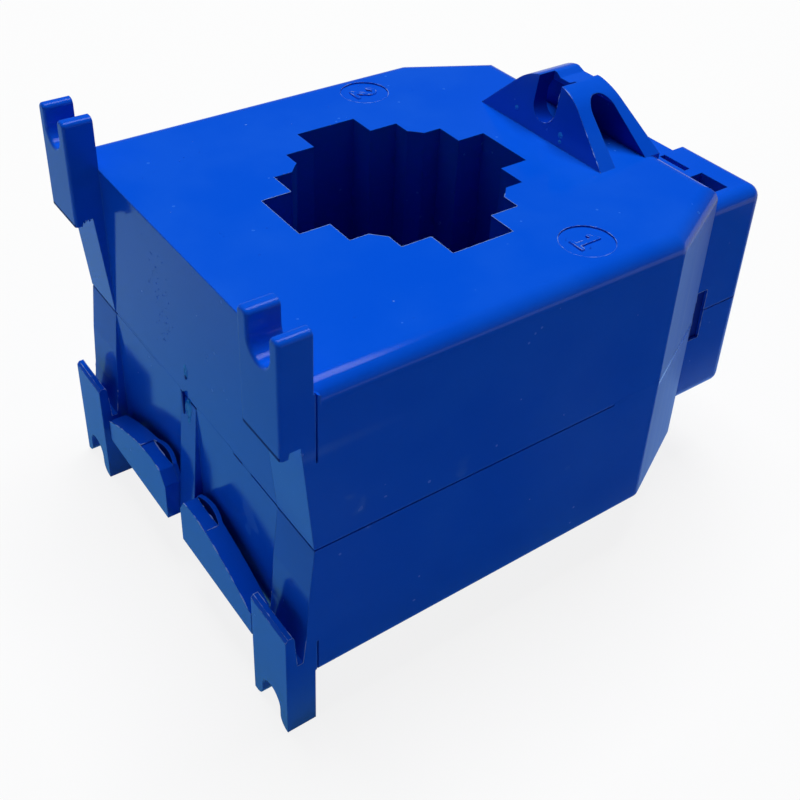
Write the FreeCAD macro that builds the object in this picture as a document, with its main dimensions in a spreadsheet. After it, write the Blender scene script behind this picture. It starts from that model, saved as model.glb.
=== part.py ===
import FreeCAD, Part
import math
import os
import re
import Sketcher

# Window-type current transformer in millimetres, lying on its back face. The origin is on the window
# axis at the height it rests on, +Z is that axis and the front face, and +X points to the terminals.
# Inside each body the drawing starts at the end face with the feet and at the seam of the two shells.

# Driving dimensions
SIZES = {
    # case
    "centre_offset": 1.4,
    "end_space": 5.4,
    "front_depth": 26.0,
    "back_depth": 24.0,
    "corner_run": 15.5,
    "corner_drop": 7.9,
    "side_wall": 2.0,
    "face_wall": 2.0,
    "edge_round": 2.8,
    "back_round": 1.0,
    "post_round": 2.0,
    "seam_line": 0.25,
    "rim_thick": 1.0,
    "rim_height": 1.5,
    "rim_play": 0.1,
    # stepped window, half sizes from its centre, and the relief of a round cable
    "window_long": 20.4,
    "window_upper": 15.4,
    "window_middle": 10.3,
    "window_narrow": 5.3,
    "corner_relief": 1.45,
    "sleeve_wall": 1.4,
    # feet of both shells
    "foot_width": 9.3,
    "foot_thick": 4.6,
    "foot_reach": 8.6,
    "foot_round": 0.8,
    "prong_round": 0.5,
    "back_foot_reach": 9.8,
    "back_foot_round": 1.8,
    "slot_width": 5.0,
    "slot_margin": 2.0,
    "slot_floor": 3.0,
    "back_slot_floor": 4.3,
    "column_flare": 1.8,
    "back_flare": 1.9,
    "groove_width": 0.3,
    "groove_depth": 0.5,
    "groove_setback": 0.25,
    # rail clip: ledge and lip of the front feet, hook tabs and arms of the back feet
    "ledge_height": 18.2,
    "lip_drop": 0.9,
    "lip_thick": 1.1,
    "hook_tip": 14.4,
    "hook_floor": 20.6,
    "hook_thick": 1.4,
    "arm_thick": 3.0,
    "arm_gap": 1.0,
    "arm_tip": 2.6,
    "arm_crest": 14.8,
    "arm_base": 24.3,
    "arm_root_top": 20.2,
    "arm_root_gap": 1.4,
    "arm_neck": 2.3,
    "arm_step": 0.25,
    "crease_side": 11.0,
    "arm_leaf": 0.7,
    "leaf_bow": 0.5,
    "slit_near": 4.2,
    "slit_far": 10.8,
    # busbar clamp bracket
    "bracket_length": 12.7,
    "bracket_half": 14.6,
    "bracket_rise": 9.3,
    "bracket_top": 2.8,
    "bracket_shoulder": 7.0,
    "shoulder_drop": 2.1,
    "front_lean": 1.4,
    "rear_lean": 3.3,
    "plate_thick": 3.1,
    "tunnel_roof": 1.1,
    "notch_half": 2.6,
    "notch_floor": 2.4,
    "notch_run": 4.5,
    "saddle_half": 2.2,
    "saddle_dip": 0.7,
    # terminal box
    "box_depth": 14.0,
    "box_half": 25.3,
    "box_step": 5.0,
    "box_round": 2.2,
    "box_wall": 2.2,
    "box_roof": 3.0,
    "end_wall": 2.6,
    "entry_width": 5.5,
    "entry_length": 7.7,
    "entry_start": 0.6,
    "vent_length": 5.6,
    "vent_width": 1.2,
    "vent_setback": 7.6,
    "vent_inset": 10.5,
    "vent_depth": 3.0,
    "scoop_half": 8.7,
    "scoop_floor": 6.0,
    "scoop_depth": 2.6,
    # snap latches beside the box
    "latch_setback": 2.5,
    "latch_width": 2.4,
    "latch_rise": 4.2,
    "latch_drop": 5.6,
    "latch_depth": 1.3,
    "latch_gap": 0.4,
    "tongue_thick": 0.5,
    # mark discs on the front face
    "disc_radius": 4.1,
    "disc_depth": 0.25,
    "disc_setback": 28.0,
    "disc_side": 27.8,
    # centre rib and gate on the feet end
    "rib_half": 2.4,
    "rib_flare": 2.0,
    # toroid
    "core_width": 5.1,
    "fit_gap": 0.5,
    "tape_thick": 0.25,
    "winding_thick": 1.2,
    "cup_wall": 0.6,
    "cushion_thick": 1.9,
    "corner_cut": 0.9,
    # terminals
    "terminal_inset": 5.75,
    "sill_height": 4.9,
    "bridge_half": 13.0,
    "bridge_drop": 3.0,
    "cage_length": 6.4,
    "cage_width": 5.0,
    "cage_height": 6.0,
    "cage_wall": 1.0,
    "cage_side": 0.8,
    "cage_play": 0.3,
    "cage_travel": 1.9,
    "bar_thick": 0.8,
    "bar_width": 2.8,
    "bar_tail": 0.9,
    "screw_radius": 1.45,
    "screw_head": 2.4,
    "head_height": 1.9,
    "head_slot": 0.7,
    "slot_deep": 0.9,
    "driver_radius": 2.0,
    "well_play": 0.3,
    "web_thick": 0.7,
    "thread_play": 0.05,
    "rest_side": 9.0,
    "rest_thick": 1.6,
    "lead_radius": 0.8,
    "lead_sweep": 25.0,
    "lead_window": 1.3,
    # hinged cover
    "cover_thick": 1.5,
    "cover_gap": 0.3,
    "cover_half": 21.6,
    "cover_low": 3.4,
    "cover_top": 17.4,
    "hinge_rise": 1.5,
    "pin_radius": 0.5,
    "pin_play": 0.06,
    "pin_reach": 1.0,
    "barrel_radius": 0.65,
    "finger_half": 3.0,
    "finger_depth": 0.7,
}

# Derived lengths, written as formulas of the sheet
SLEEVE_RADIUS = "sqrt((window_long + sleeve_wall)^2 + (window_narrow + sleeve_wall)^2)"
LINING = "(tape_thick + winding_thick + cup_wall)"
HALF = f"({SLEEVE_RADIUS} + core_width + 2*{LINING} + 2*fit_gap + side_wall)"
CENTRE = f"({HALF} + centre_offset)"
LENGTH = f"({CENTRE} + {HALF} + end_space)"
BOX_END = f"({LENGTH} + box_depth)"
FOOT_INNER = f"({HALF} - foot_width)"
REST = "(back_depth + back_foot_reach)"
SLOT_FAR = f"({HALF} - slot_margin)"
SLOT_NEAR = f"({SLOT_FAR} - slot_width)"
CORNER = "sqrt(corner_run^2 + corner_drop^2)"
MIDDLE = "((front_depth - back_depth)/2)"
TORUS_INNER = f"({SLEEVE_RADIUS} + fit_gap)"
TORUS_OUTER = f"({HALF} - side_wall - fit_gap)"
TORUS_HALF = "((front_depth + back_depth)/2 - face_wall - cushion_thick)"
CEILING = "(front_depth - box_step - box_roof)"
BLOCK_HALF = "(box_half - box_wall)"
BLOCK_BACK = f"({LENGTH} - side_wall)"
BLOCK_FRONT = f"({BOX_END} - end_wall)"
TERMINAL_SIDE = "(box_half - terminal_inset)"
VENT_SIDE = "(box_half - vent_inset)"
TERMINAL_Z = f"((sill_height + {CEILING})/2 + 0.5)"
HEAD_SEAT = f"({BLOCK_FRONT} - head_height - cage_play)"
WELL_ROOF = f"({HEAD_SEAT} - web_thick)"
CAGE_TOP = f"({WELL_ROOF} - cage_play - cage_travel)"
CAGE_FOOT = f"({CAGE_TOP} - cage_length)"
WELL_FOOT = f"({CAGE_FOOT} - cage_play)"
WELL_HALF = "(cage_width/2 + well_play)"
WELL_CEILING = f"({TERMINAL_Z} + cage_height/2 + cage_play)"
BAR_FRONT = f"({CAGE_TOP} - cage_wall - cage_play)"
BAR_LOW = "(sill_height + 1.3)"
TAG_END = f"({BLOCK_BACK} - bar_tail)"
LEAD_Z = f"({BAR_LOW} + bar_thick/2)"
HINGE_X = f"({BOX_END} - cover_thick + barrel_radius)"
HINGE_Z = "(cover_low + hinge_rise)"

doc = FreeCAD.newDocument("current_transformer")
sheet = doc.addObject("Spreadsheet::Sheet", "Sizes")
for row, (name, value) in enumerate(SIZES.items(), start=1):
    sheet.set(f"A{row}", name)
    sheet.set(f"B{row}", str(value))
    sheet.setAlias(f"B{row}", name)
doc.recompute()


def bind(formula):
    """The formula with each size read from the sheet."""
    return re.sub(r"[a-z_]+", lambda word: "Sizes." + word.group() if word.group() in SIZES else word.group(), formula)


def number(formula):
    """The present value of a formula of the sheet."""
    return float(sheet.evalExpression(formula))


def negative(formula):
    return "0" if formula == "0" else f"-({formula})"


def new_body(name, x="0", y="0", z="0"):
    """A body drawn about a point of the case, placed in the frame of the whole part."""
    body = doc.addObject("PartDesign::Body", name)
    body.Label = name
    for axis, place in (("x", f"{x} - {CENTRE}"), ("y", y), ("z", f"{z} + {REST}")):
        body.setExpression(f"Placement.Base.{axis}", bind(place))
    return body


def plane_of(body, role):
    return [item for item in body.Origin.OriginFeatures if item.Role == role][0]


def fix_point(sketch, geometry, position, corner):
    """Ties a point of the sketch to its two formulas."""
    for axis, kind, line in ((0, "DistanceX", -2), (1, "DistanceY", -1)):
        if corner[axis] == "0":
            sketch.addConstraint(Sketcher.Constraint("PointOnObject", geometry, position, line))
            continue
        index = sketch.addConstraint(Sketcher.Constraint(kind, -1, 1, geometry, position, number(corner[axis])))
        sketch.setExpression(f"Constraints[{index}]", bind(corner[axis]))


def arc_between(start, end, radius, turn):
    """A minor arc from start to end; turn is 1 to the left and -1 to the right."""
    chord = end - start
    rise = math.sqrt(max(radius ** 2 - (chord.Length / 2) ** 2, 0.0))
    centre = (start + end) * 0.5 + FreeCAD.Vector(-chord.y, chord.x, 0).normalize() * (rise * turn)
    circle = Part.Circle(centre, FreeCAD.Vector(0, 0, 1), radius)
    first, last = (start, end) if turn > 0 else (end, start)
    angles = [math.atan2(point.y - centre.y, point.x - centre.x) for point in (first, last)]
    return Part.ArcOfCircle(circle, angles[0], angles[1] + (2 * math.pi if angles[1] < angles[0] else 0))


def draw_loop(sketch, corners):
    """A closed outline. A corner is (x, y), or (x, y, radius, turn) where an arc leaves it."""
    points = [FreeCAD.Vector(number(corner[0]), number(corner[1]), 0) for corner in corners]
    pieces = []
    for index, corner in enumerate(corners):
        start, end = points[index], points[(index + 1) % len(points)]
        if len(corner) == 2:
            pieces.append((sketch.addGeometry(Part.LineSegment(start, end), False), 1, 2))
            continue
        arc = sketch.addGeometry(arc_between(start, end, number(corner[2]), corner[3]), False)
        pieces.append((arc, 1, 2) if corner[3] > 0 else (arc, 2, 1))
    for index, piece in enumerate(pieces):
        following = pieces[(index + 1) % len(pieces)]
        sketch.addConstraint(Sketcher.Constraint("Coincident", piece[0], piece[2], following[0], following[1]))
        fix_point(sketch, piece[0], piece[1], corners[index])
        if len(corners[index]) > 2:
            value = number(corners[index][2])
            radius = sketch.addConstraint(Sketcher.Constraint("Radius", piece[0], value))
            sketch.setExpression(f"Constraints[{radius}]", bind(corners[index][2]))


def draw_circle(sketch, x, y, radius):
    circle = Part.Circle(FreeCAD.Vector(number(x), number(y), 0), FreeCAD.Vector(0, 0, 1), number(radius))
    index = sketch.addGeometry(circle, False)
    fix_point(sketch, index, 3, (x, y))
    size = sketch.addConstraint(Sketcher.Constraint("Radius", index, number(radius)))
    sketch.setExpression(f"Constraints[{size}]", bind(radius))


def box(left, low, right, high):
    return [(left, low), (right, low), (right, high), (left, high)]


def new_sketch(body, name, plane, level, outlines):
    """A sketch on an origin plane of the body, moved to a level along +X, +Y or +Z."""
    sketch = body.newObject("Sketcher::SketchObject", name)
    sketch.AttachmentSupport = [(plane_of(body, plane), "")]
    sketch.MapMode = "FlatFace"
    if level != "0":
        offset = negative(level) if plane == "XZ_Plane" else level
        sketch.setExpression("AttachmentOffset.Base.z", bind(offset))
    for outline in outlines:
        if isinstance(outline, tuple):
            draw_circle(sketch, *outline)
        else:
            draw_loop(sketch, outline)
    return sketch


def form(body, kind, name, plane, low, high, *outlines):
    """A Pad or Pocket of the outlines between two levels; a Pocket has to take something away."""
    before = body.Tip.Shape.Volume if kind == "Pocket" else 0.0
    sketch = new_sketch(body, f"{name}Sketch", plane, low, outlines)
    feature = body.newObject(f"PartDesign::{kind}", name)
    feature.Profile = sketch
    feature.Reversed = (kind == "Pocket") != (plane == "XZ_Plane")
    feature.setExpression("Length", bind(f"({high}) - ({low})"))
    doc.recompute([sketch, feature])
    if kind == "Pocket" and feature.Shape.Volume > before - 1e-4:
        raise RuntimeError(f"{body.Label}: {name} cuts nothing")
    return feature


def round_edges(body, name, radius, wanted):
    """Fillets the edges of the tip whose middle point passes the test."""
    names = []
    for index, edge in enumerate(body.Tip.Shape.Edges, start=1):
        if wanted(edge.valueAt((edge.FirstParameter + edge.LastParameter) / 2)):
            names.append(f"Edge{index}")
    fillet = body.newObject("PartDesign::Fillet", name)
    fillet.Base = (body.Tip if body.Tip != fillet else fillet.BaseFeature, names)
    fillet.setExpression("Radius", bind(radius))
    doc.recompute()
    return fillet


def turned(name, *outlines):
    """A ring about the window axis from an outline of radius and height."""
    body = new_body(name, CENTRE)
    sketch = new_sketch(body, "Section", "XZ_Plane", "0", outlines)
    ring = body.newObject("PartDesign::Revolution", "Ring")
    ring.Profile = sketch
    ring.ReferenceAxis = (sketch, ["V_Axis"])
    ring.Angle = 360
    doc.recompute()
    return body


def case_outline(inset):
    """The plan of the case: square corners at the feet and two cut corners at the terminals."""
    side = f"({HALF} - {inset})"
    run = f"({LENGTH} - corner_run - {inset}*({CORNER} - corner_run)/corner_drop)"
    end = f"({LENGTH} - {inset})"
    drop = f"({HALF} - corner_drop - {inset}*({CORNER} - corner_drop)/corner_run)"
    return [(inset, negative(side)), (run, negative(side)), (end, negative(drop)),
            (end, drop), (run, side), (inset, side)]


def seam_outline(inset):
    """The plan of case and terminal box together."""
    near = case_outline(inset)
    root, out, half = near[2][0], f"({BOX_END} - {inset})", f"(box_half - {inset})"
    return near[:3] + [(root, negative(half)), (out, negative(half)), (out, half), (root, half)] + near[3:]


def window_outline(grow):
    """Four crossed rectangles; a round cable cuts the middle inner corner of each staircase."""
    levels = [f"({size} + {grow})" for size in ("window_long", "window_upper", "window_middle", "window_narrow")]
    longest, upper, middle, narrow = levels
    radius = f"({middle}*sqrt(2) + corner_relief)"
    cut = f"sqrt({radius}^2 - {middle}^2)"
    quarter = [(longest, narrow), (upper, narrow), (upper, middle), (cut, middle, radius, 1),
               (middle, cut), (middle, upper), (narrow, upper), (narrow, longest)]
    corners = []
    for turn in range(4):
        for corner in quarter:
            x, y = (corner[0], 1), (corner[1], 1)
            for _ in range(turn):
                x, y = (y[0], -y[1]), x
            place = (f"{CENTRE} {'+' if x[1] > 0 else '-'} {x[0]}", y[0] if y[1] > 0 else negative(y[0]))
            corners.append(place + corner[2:])
    return corners


def span(sign, near, far):
    """Two heights above the seam on the front side, or the same below it on the back."""
    return (near, far) if sign == "" else (negative(far), negative(near))


def both_sides(low, high):
    """A range of Y on the second side, then the same on the first."""
    return (("Two", low, high), ("One", negative(high), negative(low)))


def case_half(body, depth, sign, rounding):
    """One half of the case with its half of the terminal box."""
    form(body, "Pad", "Case", "XY_Plane", *span(sign, "0", depth), case_outline("0"))
    face = number(f"{sign}({depth})")
    half, run = number(HALF), number(f"{LENGTH} - corner_run")
    round_edges(body, "PostRounds", "post_round",
                lambda at: abs(at.x - run) < 0.01 and abs(abs(at.y) - half) < 0.01)
    round_edges(body, "FaceRounds", rounding, lambda at: abs(at.z - face) < 0.01 and at.x > 0.01)
    top = f"({depth} - box_step)"
    form(body, "Pad", "Box", "XY_Plane", *span(sign, "0", top),
         box(f"{LENGTH} - side_wall", "-box_half", BOX_END, "box_half"))
    end, box_half, lid = number(BOX_END), number("box_half"), number(f"{sign}({top})")
    length = number(LENGTH)
    round_edges(body, "BoxRounds", "box_round",
                lambda at: (abs(at.z - lid) < 0.01 and at.x > length + 0.5)
                or (abs(at.x - end) < 0.01 and abs(abs(at.y) - box_half) < 0.01))
    form(body, "Pocket", "Room", "XY_Plane", *span(sign, "0", f"{depth} - face_wall"),
         case_outline("side_wall"), window_outline("sleeve_wall"))
    form(body, "Pocket", "Window", "XY_Plane", *span(sign, "0", f"{depth} + 1"), window_outline("0"))
    form(body, "Pocket", "SeamLine", "XY_Plane", *span(sign, "0", "seam_line/2"),
         seam_outline("-1"), seam_outline("seam_line"))


def bow_radius(rise):
    """The radius of an arc over the length of the arm's slit that rises by this much."""
    return f"(((slit_far - slit_near)/2)^2 + ({rise})^2)/(2*({rise}))"


def bracket(body, depth, rise, sign):
    """The busbar clamp bracket: a leaning trapezoid with an arched tunnel, a notch and a saddle."""
    def height(above_face):
        return f"{sign}({depth} + {above_face})"
    start = f"({LENGTH} - 0.3 - bracket_length)"
    rear = f"({start} + bracket_length)"
    turn = -1 if sign == "-" else 1
    top, above = height(rise), height(f"{rise} + 1")
    shoulder = height(f"({rise} - shoulder_drop)")
    form(body, "Pad", "Bracket", "YZ_Plane", start, rear,
         [("-bracket_half", height("-1")), ("bracket_half", height("-1")), ("bracket_half", height("0")),
          ("bracket_shoulder", shoulder, "9", turn), ("bracket_top", top), ("-bracket_top", top, "9", turn),
          ("-bracket_shoulder", shoulder), ("-bracket_half", height("0"))])
    low, high = f"({start} + plate_thick)", f"({rear} - plate_thick)"
    spring, crown = height(f"({rise} - tunnel_roof - 2)"), height(f"({rise} - tunnel_roof)")
    dip = height(f"({rise} - saddle_dip)")
    form(body, "Pocket", "BracketOpenings", "XZ_Plane", "-bracket_half - 1", "bracket_half + 1",
         [(f"{start} - 1", height("0")), (start, height("0")), (f"{start} + front_lean", top),
          (f"{start} + front_lean", above), (f"{start} - 1", above)],
         [(f"{rear} + 1", height("0")), (rear, height("0")), (f"{rear} - rear_lean", top),
          (f"{rear} - rear_lean", above), (f"{rear} + 1", above)],
         [(low, height("0")), (high, height("0")), (f"{high} - 1.2", spring, "2.2", turn),
          (f"{high} - 3.2", crown), (f"{low} + 2.4", crown, "2.2", turn), (f"{low} + 0.4", spring)])
    bend = height("(notch_floor + notch_half)")
    form(body, "Pocket", "Notch", "YZ_Plane", f"{start} - 0.5", f"{start} + notch_run",
         [("-notch_half", above), ("-notch_half", bend, "notch_half", turn),
          ("0", height("notch_floor"), "notch_half", turn), ("notch_half", bend), ("notch_half", above)])
    form(body, "Pocket", "Saddle", "YZ_Plane", f"{start} + notch_run", f"{rear} + 0.5",
         [("-saddle_half", above), ("-saddle_half", top), ("-saddle_half/2", dip),
          ("saddle_half/2", dip), ("saddle_half", top), ("saddle_half", above)])


def feet(body, profile, thick, low, high, reach, floor, sign):
    """Two feet from one side profile, each with an open fixing slot and a thin line beside it."""
    turn = -1 if sign == "-" else 1
    for mark, near, far in both_sides(FOOT_INNER, HALF):
        form(body, "Pad", f"Foot{mark}", "XZ_Plane", near, far, profile)
    for mark, near, far in both_sides(SLOT_NEAR, SLOT_FAR):
        bend, above = f"{sign}({floor} + slot_width/2)", f"{sign}({reach} + 1)"
        form(body, "Pocket", f"Slot{mark}", "YZ_Plane", f"-({thick}) - 1", "0.5",
             [(near, above), (near, bend, "slot_width/2", turn),
              (f"(({near}) + ({far}))/2", f"{sign}({floor})", "slot_width/2", turn), (far, bend), (far, above)])
    start, finish = span(sign, low, high)
    for mark, near, far in both_sides(f"{HALF} - groove_depth", f"{HALF} + 1"):
        form(body, "Pocket", f"Groove{mark}", "XZ_Plane", near, far,
             box("groove_setback", start, "groove_setback + groove_width", finish))


def box_openings(body):
    """Wire entries, thin slots, the valley and the cover recess of the terminal box."""
    lid = "(front_depth - box_step)"
    for mark, near, far in both_sides(f"{TERMINAL_SIDE} - entry_width/2", f"{TERMINAL_SIDE} + entry_width/2"):
        form(body, "Pocket", f"Entry{mark}", "XY_Plane", f"{CEILING} - 0.5", f"{lid} + 0.5",
             box(f"{LENGTH} + entry_start", near, f"{LENGTH} + entry_start + entry_length", far))
    for mark, near, far in both_sides(f"{VENT_SIDE} - vent_length", VENT_SIDE):
        form(body, "Pocket", f"Vent{mark}", "XY_Plane", f"{lid} - vent_depth", f"{lid} + 0.5",
             box(f"{BOX_END} - vent_setback", near, f"{BOX_END} - vent_setback + vent_width", far))
    form(body, "Pocket", "Valley", "YZ_Plane", f"{LENGTH}", f"{BOX_END} + 0.5",
         [("-scoop_half", f"{lid} + 1"), ("-scoop_half", lid), ("-scoop_floor", f"{lid} - scoop_depth"),
          ("scoop_floor", f"{lid} - scoop_depth"), ("scoop_half", lid), ("scoop_half", f"{lid} + 1")])
    form(body, "Pocket", "CoverRecess", "YZ_Plane", f"{BOX_END} - cover_thick - cover_gap", f"{BOX_END} + 0.5",
         box("-cover_half - cover_gap", "cover_low", "cover_half + cover_gap", "cover_top"))
    pin_end = "(cover_half + cover_gap + pin_reach)"
    form(body, "Pocket", "PinHoles", "XZ_Plane", negative(pin_end), pin_end,
         (HINGE_X, HINGE_Z, "(pin_radius + pin_play)"))
    form(body, "Pocket", "DriverHoles", "YZ_Plane", f"{BLOCK_FRONT} - 0.1", BOX_END,
         (TERMINAL_SIDE, TERMINAL_Z, "driver_radius"), (f"-{TERMINAL_SIDE}", TERMINAL_Z, "driver_radius"))


def latch_recess(body, low, high):
    for mark, near, far in both_sides("box_half - latch_depth", "box_half + 0.5"):
        form(body, "Pocket", f"Latch{mark}", "XZ_Plane", near, far,
             box(f"{LENGTH} + latch_setback", low, f"{LENGTH} + latch_setback + latch_width", high))


def front_shell():
    body = new_body("front_shell")
    case_half(body, "front_depth", "", "edge_round")
    bracket(body, "front_depth", "bracket_rise", "")
    top, outer = "(front_depth + foot_reach)", "-foot_thick"
    feet(body, [("1", "seam_line"), ("1", "front_depth - 1"), ("0", "front_depth - 0.5"), ("0", top), (outer, top),
                (outer, "ledge_height - lip_drop"), (f"{outer} + lip_thick", "ledge_height - lip_drop"),
                (f"{outer} + lip_thick + 0.2", "ledge_height"), ("-column_flare", "ledge_height"),
                ("-0.1", "seam_line")],
         "foot_thick", "front_depth - 11.1", "front_depth - 0.4", top, "(front_depth + slot_floor)", "")
    prong, front = number(top), -number("foot_thick")
    round_edges(body, "ProngRounds", "foot_round",
                lambda at: abs(at.z - prong) < 0.01 and abs(at.x - front/2) < 0.01)
    round_edges(body, "ProngFrontRounds", "prong_round",
                lambda at: abs(at.z - prong) < 0.01 and abs(at.x - front) < 0.01)
    room_back = f"{BLOCK_BACK} - 0.5"
    form(body, "Pocket", "BoxRoom", "XY_Plane", "0", f"{CEILING} - bridge_drop",
         box(room_back, negative(BLOCK_HALF), BLOCK_FRONT, BLOCK_HALF))
    for mark, near, far in both_sides("bridge_half", BLOCK_HALF):
        form(body, "Pocket", f"BoxRoom{mark}", "XY_Plane", f"{CEILING} - bridge_drop - 0.1", CEILING,
             box(room_back, near, BLOCK_FRONT, far))
    form(body, "Pocket", "Rabbet", "XY_Plane", "0", "rim_height + rim_play",
         case_outline("rim_thick"), case_outline("(side_wall + 0.5)"))
    box_openings(body)
    latch_recess(body, "0", "latch_rise")
    form(body, "Pocket", "MarkDiscs", "XY_Plane", "front_depth - disc_depth", "front_depth + 0.5",
         (f"({LENGTH} - disc_setback)", "disc_side", "disc_radius"),
         (f"({LENGTH} - disc_setback)", "-disc_side", "disc_radius"))
    return body


def back_shell():
    body = new_body("back_shell")
    case_half(body, "back_depth", "-", "back_round")
    bracket(body, "back_depth", "back_foot_reach", "-")
    low, outer, inner = "(-back_depth - back_foot_reach)", "-foot_thick", "-foot_thick + hook_thick"
    feet(body, [("1", "-seam_line"), ("-0.03", "-seam_line"), ("-back_flare*0.45", "-8.2"),
                ("-back_flare*0.7", "-15.6"), ("-back_flare", "-hook_floor"), (f"{inner} + 0.3", "-hook_floor"),
                (inner, "-hook_tip - 0.6"), (f"{inner} - 0.3", "-hook_tip"), (f"{outer} + 0.4", "-hook_tip"),
                (outer, "-hook_tip - 0.5"), (outer, low), ("0", low), ("0", "-back_depth + 0.5"),
                ("1", "-back_depth + 1")],
         "foot_thick", "back_depth - 6.4", "back_depth - 0.1", "(back_depth + back_foot_reach)",
         "(back_depth + back_slot_floor)", "-")
    prong, middle, reach = number(low), number(f"({SLOT_NEAR} + {SLOT_FAR})/2"), number("slot_width/2")
    round_edges(body, "ProngRounds", "back_foot_round",
                lambda at: abs(at.z - prong) < 0.01 and abs(abs(abs(at.y) - middle) - reach) < 0.01)
    form(body, "Pad", "CentreRib", "XZ_Plane", "-rib_half", "rib_half",
         [("1", "-seam_line"), ("-0.05", "-seam_line"), ("-rib_flare", "-back_depth + 0.01"), ("1", "-back_depth + 1")])
    for mark, sign in (("Two", 1), ("One", -1)):
        def side(formula):
            return formula if sign > 0 else negative(formula)
        root = f"({FOOT_INNER} - arm_root_gap)"
        outline = [(side(root), "-arm_base"), (side(root), "-arm_root_top", "60", sign),
                   (side(f"({FOOT_INNER} - 16)"), "-arm_crest - 0.3", "12", sign),
                   (side("(arm_tip + 1.5)"), "-arm_crest - 0.4"), (side("arm_tip"), "-arm_crest - 2.7"),
                   (side("arm_tip"), "-arm_base")]
        form(body, "Pad", f"Neck{mark}", "XY_Plane", "-arm_base", "-arm_base + arm_neck",
             box("-arm_gap - arm_thick/2", side(f"({root} - 0.5)"), "-arm_gap", side(f"({FOOT_INNER} + 0.5)")))
        form(body, "Pad", f"Arm{mark}", "YZ_Plane", "-arm_gap - arm_thick", "-arm_gap + leaf_bow", outline)
        leaf, low, high = "-arm_gap - arm_leaf", "-arm_base - 0.5", "-arm_crest + 1"
        ends = [side(f"(slit_{end})") for end in ("near", "far")]
        form(body, "Pocket", f"Slit{mark}", "XY_Plane", low, high,
             [(leaf, ends[1], bow_radius("leaf_bow"), -sign), (leaf, ends[0], bow_radius("0.3"), -sign)])
        form(body, "Pocket", f"Bow{mark}", "XY_Plane", low, high,
             [("-arm_gap", side("(rib_half + 0.1)")), ("-arm_gap", ends[0], bow_radius("leaf_bow"), sign),
              ("-arm_gap", ends[1]), ("-arm_gap", side(f"({root} + 0.2)")),
              ("-arm_gap + leaf_bow + 0.1", side(f"({root} + 0.2)")),
              ("-arm_gap + leaf_bow + 0.1", side("(rib_half + 0.1)"))])
        lowered = "-arm_crest - arm_step"
        form(body, "Pocket", f"Step{mark}", "YZ_Plane", "-arm_gap - arm_thick - 0.5", leaf,
             [(side("crease_side"), high), (side("crease_side"), f"{lowered} - 0.57"),
              (side(f"({FOOT_INNER} - 16)"), f"{lowered} - 0.3", "12", sign),
              (side("(arm_tip + 1.5)"), f"{lowered} - 0.4"), (side("(arm_tip - 0.5)"), f"{lowered} - 3.4"),
              (side("(arm_tip - 0.5)"), high)])
    form(body, "Pocket", "BoxRoom", "XY_Plane", "-(back_depth - box_step - box_roof)", "0",
         box(LENGTH, negative(BLOCK_HALF), BLOCK_FRONT, BLOCK_HALF))
    form(body, "Pad", "Rim", "XY_Plane", "-0.5", "rim_height",
         case_outline("(rim_thick + rim_play)"), case_outline("side_wall"))
    for mark, near, far in both_sides("rest_side - rest_thick", "rest_side"):
        form(body, "Pad", f"Rest{mark}", "XY_Plane", "-(back_depth - box_step - box_roof + 0.5)", "sill_height",
             box(f"{LENGTH} + 2", near, f"{BLOCK_FRONT} - 1", far))
    latch_recess(body, "-latch_drop", "0")
    for mark, near, far in both_sides("box_half - latch_depth + 0.2", "box_half - latch_depth + 0.2 + tongue_thick"):
        form(body, "Pad", f"Tongue{mark}", "XZ_Plane", near, far,
             box(f"{LENGTH} + latch_setback + latch_gap", "-latch_drop - 0.5",
                 f"{LENGTH} + latch_setback + latch_width - latch_gap", "latch_rise - latch_gap"))
    return body


def section(inset, cut):
    """The cross section of the toroid, moved inwards, with cut corners if wanted."""
    near, far = f"({TORUS_INNER} + {inset})", f"({TORUS_OUTER} - {inset})"
    low, high = f"({MIDDLE} - {TORUS_HALF} + {inset})", f"({MIDDLE} + {TORUS_HALF} - {inset})"
    if cut == "0":
        return box(near, low, far, high)
    return [(f"{near} + {cut}", low), (f"{far} - {cut}", low), (far, f"{low} + {cut}"), (far, f"{high} - {cut}"),
            (f"{far} - {cut}", high), (f"{near} + {cut}", high), (near, f"{high} - {cut}"), (near, f"{low} + {cut}")]


def core_cup(name, sign):
    """One of the two insulating cups that meet at mid height round the core."""
    inset, lining = "(tape_thick + winding_thick)", LINING
    near, far = f"({TORUS_INNER} + {inset})", f"({TORUS_OUTER} - {inset})"
    near_in, far_in = f"({TORUS_INNER} + {lining})", f"({TORUS_OUTER} - {lining})"
    top, top_in = f"({MIDDLE} {sign} ({TORUS_HALF} - {inset}))", f"({MIDDLE} {sign} ({TORUS_HALF} - {lining}))"
    return turned(name, [(near, MIDDLE), (near, top), (far, top), (far, MIDDLE), (far_in, MIDDLE), (far_in, top_in),
                         (near_in, top_in), (near_in, MIDDLE)])


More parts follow.
